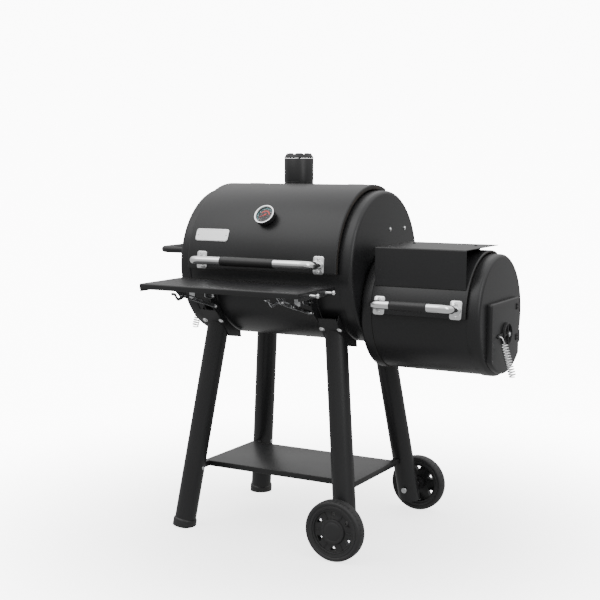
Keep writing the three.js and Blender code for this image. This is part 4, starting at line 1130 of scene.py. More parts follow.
class SMOKER_OT_thermometer(bpy.types.Operator):
    """Builds the lid thermometer"""

    bl_idname = "smoker.thermometer"
    bl_label = "Thermometer"

    def execute(self, context):
        s = Sizes(context.scene.smoker_gauge)
        turn = Matrix.Rotation(math.radians(90 - s.angle), 4, "X")
        place = Matrix.Translation((0, 0, BARREL_Z)) @ turn
        r, face = s.radius, s.face
        housing = [
            (0, 215), (1.6, 215.4), (2.8, 217), (2.8, 279), (16, 279), (16, 285), (
                r - 6, 285.4,
            ), (r - 2, 288),
            (r - 1, 292), (r - 1, 302.6), (r - 4.6, 302.6), (r - 4.6, face - 9), (0, face - 9),
        ]
        can = Solid().turned(housing, (0, 0, 0), (0, 0, 1), 72)
        for i in range(24):
            ray = math.radians(15 * i)
            fin = Solid().block(r - 1.4, r - 0.35, -1.1, 1.1, 290.5, 301.5)
            can.add(fin.moved(Matrix.Rotation(ray, 4, "Z")))
        piece("gauge_can", can.moved(place), "main_lid", "cast", "gauge_housing")
        rim = [
            (r - 6.4, 303.4), (r - 0.6, 303.4), (r, 304), (r, 306.4), (r - 0.8, 307.6), (r - 2.4, face),
        ]
        rim += [(r - 4, face - 0.3), (r - 5.6, 306.6), (r - 6.4, 305.8)]
        bezel = Solid().turned(rim, (0, 0, 0), (0, 0, 1), 96).moved(place)
        piece("gauge_ring", bezel, "main_lid", "chrome", "gauge_bezel")
        level = face - 8.8
        disc = [(0, level), (r - 5.2, level), (r - 5.2, level + 0.5), (0, level + 0.5)]
        dial = Solid().turned(disc, (0, 0, 0), (0, 0, 1), 72).moved(place)
        piece("dial_face", dial, "main_lid", "dial")
        marks = {"teal": Solid(), "red": Solid(), "white": Solid()}
        start, sweep = 225.0, 270.0
        top = level + 0.5

        def ribbon(inner, outer, first, last, steps):
            outline = []
            for radius, order in ((outer, range(steps + 1)), (inner, range(steps, -1, -1))):
                for i in order:
                    ray = math.radians(first + (last - first) * i / steps)
                    outline.append((radius * math.cos(ray), radius * math.sin(ray)))
            return outline

        flat = lambda u, v, w: (u, v, w)
        marks["red"].prism(ribbon(14.5, 18.5, 150, 8, 36), top, top + 0.25, flat)
        marks["teal"].prism(ribbon(26.6, 27.4, 225, -45, 60), top, top + 0.25, flat)
        for i in range(s.ticks + 1):
            ray = math.radians(start - sweep * i / s.ticks)
            long = i % 4 == 0
            c, n = math.cos(ray), math.sin(ray)
            wide = 0.55 if long else 0.3
            bar = [
                (21.5 if long else 24, -wide), (26.4, -wide), (26.4, wide),
                (21.5 if long else 24, wide),
            ]
            outline = [(u * c - v * n, u * n + v * c) for u, v in bar]
            marks["white" if long else "teal"].prism(outline, top, top + 0.25, flat)
        for finish, solid in marks.items():
            piece("dial_marks_" + finish, solid.moved(place), "main_lid", finish)
        pane = [
            (0, face - 4.3), (r - 6.9, face - 4.3), (r - 6.9, face - 3.4), (r - 12, face - 2.9),
            (0, face - 2.7),
        ]
        lens = Solid().turned(pane, (0, 0, 0), (0, 0, 1), 64).moved(place)
        piece("gauge_lens", lens, "main_lid", "glass", "gauge_glass")
        pointer = Solid()
        blade = [(-5, -8), (-1.1, -2), (-0.9, 12), (0, 24), (0.9, 12), (1.1, -2), (5, -8), (0, -6)]
        pointer.prism(blade, face - 6.7, face - 6.1, flat)
        pointer.turned(
            [
                (0, face - 14), (1.4, face - 14), (1.4, face - 7.2), (3.2, face - 7.2),
                (3.4, face - 6.6), (2.6, face - 5.3), (0, face - 5.1),
            ],
            (0, 0, 0), (0, 0, 1), 28,
        )
        pointer.moved(place @ Matrix.Rotation(math.radians(120), 4, "Z"))
        piece("pointer", pointer, "gauge_pointer", "red", "gauge_needle")
        return {"FINISHED"}


class SMOKER_OT_chimney(bpy.types.Operator):
    """Builds the chimney and its turning crown"""

    bl_idname = "smoker.chimney"
    bl_label = "Chimney"

    def execute(self, context):
        s = Sizes(context.scene.smoker_chimney)
        low, high = box("chimney_pipe")
        x, y = (low.x + high.x) / 2, (low.y + high.y) / 2
        r = (high.x - low.x) / 2
        top = high.z
        foot = BARREL_Z + 50
        outer = [(r - s.wall, foot), (r, foot), (r, 1204)]
        for i in range(s.ribs):
            z = 1206 + i * 5.2
            outer += [(r, z - 1.5), (r - 0.9, z - 0.8), (r - 1.2, z), (r - 0.9, z + 0.8), (r, z + 1.5)]
        outer += [(r, 1226), (r, top - 0.8), (r - 0.5, top), (r - s.wall, top)]
        tube = Solid().turned(outer, (x, y, 0), (0, 0, 1), 80)
        barrel = Solid().rod((-400, 0, BARREL_Z), (400, 0, BARREL_Z), 257.7, 144)
        inside = (lambda m, n: n.dot(Vector((m.x - x, m.y - y, 0))) < 0, "soot")
        piece("chimney_tube", tube, "frame", "coat", "chimney_pipe", cuts=[barrel], inner=inside)
        weld = []
        for i in range(97):
            turn = 2 * math.pi * i / 96
            wx, wy = x + (r + 1.2) * math.cos(turn), y + (r + 1.2) * math.sin(turn)
            ripple = 0.35 * math.sin(turn * 48)
            out = 257.9 + ripple
            wz = BARREL_Z + (max(out ** 2 - wy ** 2, 25)) ** 0.5
            weld.append((wx, wy, wz))
        bead = Solid().swept(weld, 2.6, 10)
        piece("chimney_weld", bead, "frame", "coat")
        seat_top = top - 12
        seat = Solid().turned(
            [
                (4.6, seat_top - 2), (r - s.wall - 0.2, seat_top - 2), (r - s.wall - 0.2, seat_top),
                (4.6, seat_top),
            ],
            (x, y, 0), (0, 0, 1), 64,
        )
        cuts = windows(4, 14, 40, 21, 0, lambda u, v, w: (x + u, y + v, seat_top + w), 6)
        piece("chimney_seat", seat, "frame", "coat", cuts=cuts)

        base = top + 0.3
        peak = box("chimney_crown")[1].z
        ring = [(0, base), (r - 0.4, base), (r, base + 0.4), (r, base + 3)]
        for i in range(1, 6):
            t = i / 6
            ring.append((r - (r - 44) * t ** 1.15, base + 3 + (peak - base - 3) * t))
        ring += [
            (44, peak - 0.3), (43.6, peak), (42.4, peak), (42, peak - 0.3), (r - 3, base + 3),
            (r - 3, base + 2), (0, base + 2),
        ]
        crown = Solid().turned(ring, (x, y, 0), (0, 0, 1), 96)
        cuts = windows(4, 14, 40, 21, 0, lambda u, v, w: (x + u, y + v, base + w), 6)
        for i in range(s.notches):
            turn = math.radians(360 / s.notches * i + 10)
            outline = [
                (-7, peak - 2.6), (-6, peak - 3.6), (6, peak - 3.6), (7, peak - 2.6), (7, peak + 6),
                (-7, peak + 6),
            ]
            notch = Solid().prism(outline, 28, 60, lambda u, v, w: (w, u, v))
            notch.moved(Matrix.Translation((x, y, 0)) @ Matrix.Rotation(turn, 4, "Z"))
            cuts.append(notch)
        piece("crown_ring", crown, "crown", "coat", "chimney_crown", cuts=cuts)
        stem = Solid().rod((x, y, seat_top - 8), (x, y, base + 4), 3.8, 24)
        stem.turned(
            [(0, base + 2), (9, base + 2), (9, base + 3.4), (0, base + 3.4)], (x, y, 0), (0, 0, 1), 28,
        )
        stem.turned(
            [(0, base + 3.4), (6.5, base + 3.4), (6.5, base + 8), (5.6, base + 9), (0, base + 9)],
            (x, y, 0), (0, 0, 1), 6,
        )
        piece("crown_stem", stem, "crown", "zinc")
        return {"FINISHED"}


class SMOKER_OT_firebox(bpy.types.Operator):
    """Builds the firebox barrel, its caps and the fixed halves of the door hinges"""

    bl_idname = "smoker.firebox"
    bl_label = "Firebox"

    def execute(self, context):
        s = Sizes(context.scene.smoker_firebox)
        z = FIRE_Z
        half = (FIRE_X1 - FIRE_X0) / 2
        x = FIRE_X
        reach = half - s.corner
        ring = [(s.shell, -reach), (s.shell, reach), (s.shell - 2.5, reach), (s.shell - 2.5, -reach)]
        barrel = Solid().turned(ring, (x, 0, z), (1, 0, 0), 128)
        opening = Solid().arc(0, 400, 2, 108.5, x - 152, x + 152, z, 24)
        piece(
            "firebox_barrel", barrel, "frame", "coat", "firebox_shell", cuts=[opening],
            inner=(facing_axis(z), "soot"),
        )
        base = hinge(s.shell, s.lid, x, z)[0]
        piece("firebox_hinge", base, "frame", "coat", edge=0.4)
        pan = cap_profile(FIRE_R, 42, half, s.corner)
        passage = smoke_passage()
        left = Solid().turned(pan, (x, 0, z), (-1, 0, 0), 144)
        inside = (facing_axis(z, 1), "soot")
        piece("firebox_end_left", left, "frame", "coat", "firebox_cap_left", cuts=[passage], inner=inside)
        right = Solid().turned(pan, (x, 0, z), (1, 0, 0), 144)
        opening = Solid().slab([(y, z + v) for y, v in self.outline(s, 16)], FIRE_X1 - 30, FIRE_X1 + 30)
        piece(
            "firebox_end_right", right, "frame", "coat", "firebox_cap_right", cuts=[opening],
            inner=(facing_axis(z, -1), "soot"),
        )
        pivot = joint("firebox_door_hinge")
        arms = Solid()
        for level in DOOR_KNUCKLES_Z:
            for low in (12, -20):
                z0 = level + low
                arms.turned(
                    [(0, z0), (6, z0), (6, z0 + 8), (0, z0 + 8)], (pivot.x, pivot.y, 0), (0, 0, 1), 28,
                )
                arms.block(FIRE_X1 - 1, pivot.x, pivot.y - 4, pivot.y + 4, z0, z0 + 8)
            pin = [
                (0, level - 23), (3.6, level - 22.6), (4.4, level - 20.2), (2.8, level - 20),
                (2.8, level + 20),
            ]
            pin += [(4.6, level + 20.2), (4.6, level + 22), (3.4, level + 23.4), (0, level + 23.6)]
            arms.turned(pin, (pivot.x, pivot.y, 0), (0, 0, 1), 24)
            arms.block(FIRE_X1 - 0.4, FIRE_X1 + 2.2, pivot.y - 4, pivot.y + 15, level - 20, level + 20)
        piece("door_hinge_bases", arms, "frame", "coat", edge=0.4)
        return {"FINISHED"}

    @staticmethod
    def outline(s, inset, top=50, steps=28):
        """The door's outline: flat top with small corners, straight sides and a round bottom."""
        half, r = s.door_half - inset, s.door_round - inset
        corner = 8
        sweep = math.asin(half / r)
        points = []
        for su, first in ((1, 0), (-1, 90)):
            for i in range(7):
                turn = math.radians(first + 15 * i)
                across = su * (half - corner) + corner * math.cos(turn)
                points.append((across, top - inset - corner + corner * math.sin(turn)))
        for i in range(steps + 1):
            turn = -sweep + 2 * sweep * i / steps
            points.append((r * math.sin(turn), -r * math.cos(turn)))
        return points


class SMOKER_OT_firebox_lid(bpy.types.Operator):
    """Builds the firebox lid with its hood and handle"""

    bl_idname = "smoker.firebox_lid"
    bl_label = "Firebox lid and hood"

    def execute(self, context):
        s = Sizes(context.scene.smoker_firebox)
        lid = Sizes(context.scene.smoker_lid)
        z, x = FIRE_Z, FIRE_X
        half = box("firebox_lid_shell")[1].x - x
        lid_shell(
            "fire_lid", "firebox_lid", "firebox_lid_shell", s.lid, FIRE_R + 2, half, FIRE_LID_FROM,
            LID_TO, x, z, 4,
        )
        leaf = hinge(s.shell, s.lid, x, z)[1]
        piece("fire_lid_hinge", leaf, "firebox_lid", "coat", edge=0.4)
        handle(
            "fire_handle", "firebox_lid", ("firebox_handle_frame", "firebox_handle_grip"), s.lid, 68, 9.5,
            133, 64, lid.tube, lid.grip, 60, 30, x, z,
        )
        low, high = box("firebox_hood")
        sheet = 2.5
        front, back, top = low.y, high.y, high.z
        foot = z + (s.lid ** 2 - (front + sheet) ** 2) ** 0.5 + 0.3
        bend = 5
        outer, inner = [], []
        for i in range(7):
            turn = math.radians(90 * i / 6)
            outer.append((front + bend - bend * math.cos(turn), top - bend + bend * math.sin(turn)))
            rest = bend - sheet
            inner.append((front + bend - rest * math.cos(turn), top - bend + rest * math.sin(turn)))
        section = [
            (front, foot), *outer, (back, top), (back, top - sheet), *inner[::-1],
            (front + sheet, foot),
        ]
        hood = Solid().slab(section, low.x, high.x)
        piece("hood", hood, "firebox_lid", "coat", "firebox_hood", edge=0.7)
        posts = Solid()
        for side in (-1, 1):
            x0, x1 = x + side * 110 - 12, x + side * 110 + 12
            posts.block(x0, x1, 4, 22, z + s.lid - 1.2, top - sheet)
            bolt(posts, (x + side * 110, 13, top), (0, 0, 1), 4, "dome")
        piece("hood_posts", posts, "firebox_lid", "coat", edge=0.5)
        return {"FINISHED"}


class SMOKER_OT_firebox_door(bpy.types.Operator):
    """Builds the firebox door and both vent dampers"""

    bl_idname = "smoker.firebox_door"
    bl_label = "Door and dampers"

    def execute(self, context):
        s = Sizes(context.scene.smoker_firebox)
        vents = context.scene.smoker_chamber.vents
        z = FIRE_Z
        x0 = box("firebox_door")[0].x
        x1 = x0 + DOOR_DEPTH
        rings = []
        for inset, x in (
            (0, x0), (0, x0 + 10), (0.6, x0 + 12), (2.2, x0 + 14.2), (4.6, x0 + 15.6), (7.5, x1),
        ):
            rings.append([(x, y, z + v) for y, v in SMOKER_OT_firebox.outline(s, inset)])
        pan = Solid().rings(rings)
        hollow = []
        for inset, x in ((2.2, x0 - 4), (2.2, x0 + 10), (4.2, x0 + 12.6), (8.5, x1 - 2.5)):
            hollow.append([(x, y, z + v) for y, v in SMOKER_OT_firebox.outline(s, inset)])
        pivot = joint("door_damper_pivot")
        cuts = [Solid().rings(hollow)]
        cuts += windows(
            vents, VENT_INNER, VENT_OUTER, VENT_SPREAD, VENT_FIRST,
            lambda u, v, w: (x1 + w, -u, pivot.z + v), 30,
        )
        inside = (lambda m, n: n.x < -0.5 and m.x > x0 + 1, "soot")
        piece("door_pan", pan, "fire_door", "coat", "firebox_door", cuts=cuts, inner=inside)
        hinge_at = joint("firebox_door_hinge")
        knuckles = Solid()
        for level in DOOR_KNUCKLES_Z:
            profile = [(3.2, level - 11), (6, level - 11), (6, level + 11), (3.2, level + 11)]
            knuckles.turned(profile, (hinge_at.x, hinge_at.y, 0), (0, 0, 1), 28)
            knuckles.block(
                hinge_at.x - 2, hinge_at.x + 2, s.door_half - 1.5, hinge_at.y - 4, level - 11,
                level + 11,
            )
            leaf = rounded_rectangle(17, 10.5, 3)
            knuckles.prism(
                leaf, x1 - 0.2, x1 + 2.2, lambda u, v, w, c=level: (w, s.door_half - 17 + u, c + v),
            )
            for v in (-5, 5):
                bolt(knuckles, (x1 + 2.1, s.door_half - 24, level + v), (1, 0, 0), 2.2)
        piece("door_knuckles", knuckles, "fire_door", "coat", edge=0.3)
        damper(
            "door_damper", "door_damper", ("door_damper_disc", "door_damper_spring"),
            (x1, pivot.y, pivot.z), 1, s.coil_turns, s.coil_wire, vents,
        )
        side = joint("side_damper_pivot")
        damper(
            "side_damper", "side_damper", ("side_damper_disc", "side_damper_spring"),
            (-BARREL_HALF, side.y, side.z), -1, s.coil_turns, s.coil_wire, vents,
        )
        return {"FINISHED"}


class SMOKER_OT_stand(bpy.types.Operator):
    """Builds the legs, feet, leg brackets and the bottom shelf"""

    bl_idname = "smoker.stand"
    bl_label = "Stand"

    @staticmethod
    def leg_point(sx, sy, z):
        """A point on a leg's centre line; the legs lean in towards the barrel."""
        x = LEG_AT_FLOOR[0] - LEG_LEAN[0] * z
        y = LEG_AT_FLOOR[1] - LEG_LEAN[1] * z
        return Vector((sx * x, sy * y, z))

    @staticmethod
    def web(t, out, sy):
        """Y and Z along the bracket's sloping web, on the side away from the barrel."""
        (ty, tz), (by, bz) = WEB_TOP, WEB_BOTTOM
        span = math.hypot(by - ty, bz - tz)
        y = ty + (by - ty) * t + out * (bz - tz) / span
        return (-sy * y, tz + (bz - tz) * t - out * (by - ty) / span)

    def execute(self, context):
        s = Sizes(context.scene.smoker_stand)
        for name, sx, sy in CORNERS:
            self.leg(s, name, sx, sy)
            self.bracket(name, sx, sy)
        self.shelf(s)
        return {"FINISHED"}

    def leg(self, s, name, sx, sy):
        point = lambda z: self.leg_point(sx, sy, z)
        low = box("leg_" + name)[0].z
        along = (point(820) - point(-60)).normalized()
        length = (point(820) - point(-60)).length
        bore = s.leg - LEG_WALL
        ring = [(s.leg, 0), (s.leg, length), (bore, length), (bore, 0)]
        tube = Solid().turned(ring, point(-60), along, 72)
        above = [self.web(-1, 0.3, sy), self.web(2, 0.3, sy), (-sy * 60, 400), (-sy * 60, 1100)]
        cuts = [Solid().slab(above, -500, 500), Solid().block(-600, 600, -600, 600, -300, low)]
        if sx > 0:
            cuts.append(Solid().rod((AXLE_X, 0, AXLE_Z), (AXLE_X, sy * 400, AXLE_Z), 6.4, 24))
        piece("leg_tube_" + name, tube, "frame", "coat", "leg_" + name, cuts=cuts)
        screws = Solid()
        inward = Vector((-sx, 0, 0))
        bolt(screws, point(211) + inward * (s.leg - 0.3), inward, 5)
        piece("leg_screw_" + name, screws, "frame", "zinc")
        if sx < 0:
            foot = Solid().turned(
                [
                    (0, 40), (s.foot, 40), (s.foot, 63), (s.foot - 0.6, 66.5), (s.foot - 2.4, 69.2),
                    (s.leg + 0.4, 70), (s.leg + 0.4, 50), (0, 50),
                ],
                point(-40), along, 72,
            )
            floor = Solid().block(-700, 700, -700, 700, -200, 0)
            piece("foot_cap_" + name, foot, "frame", "resin", "foot_" + name, cuts=[floor])
        else:
            plug_at = point(low)
            plug = Solid().turned(
                [(0, -2), (s.leg - 2.4, -2), (s.leg - 2.4, 12), (0, 12)], plug_at, (0, 0, 1), 56,
            )
            piece("leg_plug_" + name, plug, "frame", "resin", edge=1)

    def bracket(self, name, sx, sy):
        front = sy < 0
        sheet = BRACKET_SHEET
        x0, x1 = BRACKET_X0, BRACKET_X1
        edge = [
            self.web(0.3, 0, sy), (-sy * -212, 800), (-sy * -130, 720), (-sy * -84, 694),
            (-sy * -80, 668), self.web(1, 0, sy),
        ]
        web = [
            self.web(0.17, 0, sy), self.web(1, 0, sy), self.web(1, -sheet, sy),
            self.web(0.17, -sheet, sy),
        ]
        barrel = Solid().rod((-600, 0, BARREL_Z), (600, 0, BARREL_Z), BARREL_R + 0.3, 160)
        flip = Matrix.Diagonal((sx, 1, 1, 1))
        body = Solid().slab(web, x0, x1).slab(edge, x0, x0 + sheet).slab(edge, x1 - sheet, x1)
        post = None
        if front:
            outline = [
                self.web(0.35, 0, sy), (-270, 800), (-279, 830), (-280, 838), (-277, 845),
                (-270, 848.5), (-240, 850), (-218, 800), (-200, 760),
            ]
            post = Solid().slab(outline, x0 - 0.1, x0 + sheet + 0.1).moved(flip)
        piece(
            "bracket_" + name, body.moved(flip), "frame", "coat", "leg_bracket_" + name, cuts=[barrel],
            edge=0.8,
        )
        if post:
            piece("bracket_post_" + name, post, "frame", "coat", cuts=[barrel], edge=0.8)
            pins = Solid()
            for (y, z), reach in ((SHELF_PIVOT, 189.5), (STRUT_FOOT, 184)):
                pins.rod((sx * reach, y, z), (sx * (x0 + 5), y, z), 4, 20)
                bolt(pins, (sx * reach, y, z), (-sx, 0, 0), 5, "dome")
            piece("shelf_pins_" + name, pins, "frame", "chrome")
        bolts = Solid()
        slope = Vector((0, sy * 118, -96)).normalized()
        for x in (x0 + 4, x1 - 3):
            bolt(bolts, (sx * x, sy * 206, 740), slope, 7)
        piece("bracket_bolts_" + name, bolts, "frame", "chrome")

    def shelf(self, s):
        half_x, half_y, top = TRAY_HALF_X, TRAY_HALF_Y, box("bottom_shelf")[1].z
        tray = Solid().block(-half_x, half_x, -half_y, half_y, top - s.tray_flange, top)
        hollow = Solid().block(
            -half_x + 2, half_x - 2, -half_y + 2, half_y - 2, top - s.tray_flange - 9, top - 2,
        )
        cuts = [hollow]
        tabs = Solid()
        for _, sx, sy in CORNERS:
            xs = sorted((sx * 284, sx * 304))
            ys = sorted((sy * 163, sy * 196))
            tabs.block(*xs, *ys, top - s.tray_flange, top)
        piece("shelf_tray", tray, "frame", "coat", "bottom_shelf", soft=2.2, segments=3, cuts=cuts)
        legs = []
        for _, sx, sy in CORNERS:
            start, end = self.leg_point(sx, sy, 100), self.leg_point(sx, sy, 400)
            legs.append(Solid().rod(start, end, s.leg + 0.2, 64))
        piece("shelf_tabs", tabs, "frame", "coat", cuts=legs, edge=0.6)


class SMOKER_OT_wheels(bpy.types.Operator):
    """Builds the two wheels and their shoulder bolts"""

    bl_idname = "smoker.wheels"
    bl_label = "Wheels"

    def execute(self, context):
        s = Sizes(context.scene.smoker_stand)
        for name, sy in (("front", -1), ("rear", 1)):
            self.wheel(s, name, sy)
        return {"FINISHED"}

    def wheel(self, s, name, sy):
        low, high = box("tyre_" + name)
        middle = (low + high) / 2
        radius, half = (high.z - low.z) / 2, (high.y - low.y) / 2
        rim = RIM_R
        axis = (0, sy, 0)
        side = [
            (rim, -half + 3), (rim + 3, -half + 2.2), (rim + 8, -half + 2), (rim + 9.5, -half + 3.4),
            (rim + 11, -half + 2), (radius - 9, -half + 0.4), (radius - 5.5, -half + 1.6),
        ]
        side += [(radius - 2.2, -half + 5.5), (radius - 0.8, -half + 10), (radius, 0)]
        profile = side + [(r, -h) for r, h in side[-2::-1]]
        tyre = Solid().turned(profile, middle, axis, 120)
        grooves = []
        for i in range(s.treads):
            turn = Matrix.Translation(middle) @ Matrix.Rotation(2 * math.pi * i / s.treads, 4, "Y")
            for lean, y0, y1 in ((0.35, -half - 1, -7), (-0.35, 7, half + 1)):
                outline = [
                    (-1.1, radius - 2.2), (1.1, radius - 2.2), (1.6, radius + 4), (-1.6, radius + 4),
                ]
                groove = Solid().rings([[(u + lean * y, y, v) for u, v in outline] for y in (y0, y1)])
                grooves.append(groove.moved(turn))
        joined = Solid()
        for groove in grooves:
            joined.add(groove)
        piece("tyre_ring_" + name, tyre, "wheel_" + name, "tyre", "tyre_" + name, cuts=[joined])

        h = half - 5
        outer = [
            (0, -h + 4), (rim - 0.6, -h + 4), (rim - 0.6, h - 0.6), (rim - 1.2, h), (rim - 5, h),
            (rim - 6.2, h - 0.8),
        ]
        outer += [
            (rim - 8, h - 6.4), (rim - 9.4, h - 7), (46, h - 7), (43.4, h - 6), (41, h + 0.2),
            (39, h + 1.2), (33, h + 1.5),
        ]
        outer += [(31.5, h + 0.6), (30, h + 1.6), (20, h + 2.7), (0, h + 3)]
        hub = Solid().turned(outer, middle, axis, 96)
        place = Matrix.Translation(middle) @ Matrix.Diagonal((1, sy, 1, 1))
        back = Solid().turned(
            [(26, -h - 5), (rim - 6, -h - 5), (rim - 8, h - 11), (26, h - 11)], middle, axis, 80,
        )
        cuts = [back, Solid().rod(place @ Vector((0, -60, 0)), place @ Vector((0, h - 12, 0)), 6.5, 32)]
        for i in range(s.hub_windows):
            turn = Matrix.Rotation(2 * math.pi * i / s.hub_windows, 4, "Y")
            outline = [
                (-9.5, 64.5), (9.5, 64.5), (11.4, 63.2), (11, 61), (1.4, 48.2), (0, 47.5), (-1.4, 48.2),
                (-11, 61), (-11.4, 63.2),
            ]
            cuts.append(Solid().prism(outline, -60, 60, lambda u, v, w: (u, w, v)).moved(place @ turn))
        piece("hub_" + name, hub, "wheel_" + name, "resin", "wheel_hub_" + name, cuts=cuts)
        tunnels, holes = Solid(), []
        flat = lambda u, v, w: (u, w, v)
        for i in range(s.hub_windows):
            turn = Matrix.Rotation(2 * math.pi * i / s.hub_windows, 4, "Y")
            wall = [
                (-12.4, 66), (12.4, 66), (14.4, 64), (13.4, 60), (2, 45), (-2, 45), (-13.4, 60),
                (-14.4, 64),
            ]
            hole = [
                (-9.7, 64.7), (9.7, 64.7), (11.6, 63.3), (11.2, 61), (1.5, 48), (-1.5, 48), (-11.2, 61),
                (-11.6, 63.3),
            ]
            tunnels.add(Solid().prism(wall, -h + 8, h - 9, flat).moved(place @ turn))
            holes.append(Solid().prism(hole, -60, 60, flat).moved(place @ turn))
        piece("hub_tunnels_" + name, tunnels, "wheel_" + name, "resin", cuts=holes)
        ribs = Solid()
        for i in range(s.hub_windows):
            turn = Matrix.Rotation(2 * math.pi * (i + 0.5) / s.hub_windows, 4, "Y")
            rib = Solid().prism(
                [(-1.6, 44), (1.6, 44), (1.6, rim - 8), (-1.6, rim - 8)], h - 10, h - 4.4,
                lambda u, v, w: (u, w, v),
            )
            ribs.add(rib.moved(place @ turn))
        piece("hub_ribs_" + name, ribs, "wheel_" + name, "resin", edge=0.8)

        inner = box("wheel_bolt_" + name)
        near = min(abs(inner[0].y), abs(inner[1].y))
        far = max(abs(inner[0].y), abs(inner[1].y))
        shank = [
            (0, near), (9, near), (10, near + 0.8), (10, near + 5.4), (9, near + 6), (6, near + 6),
            (6, 294),
        ]
        shank += [
            (11, 294), (11, middle.y * sy - half + 4.5), (6, middle.y * sy - half + 4.5), (6, far),
            (0, far),
        ]
        axle = Solid().turned(shank, (middle.x, 0, middle.z), axis, 40)
        piece("axle_bolt_" + name, axle, "frame", "zinc", "wheel_bolt_" + name)


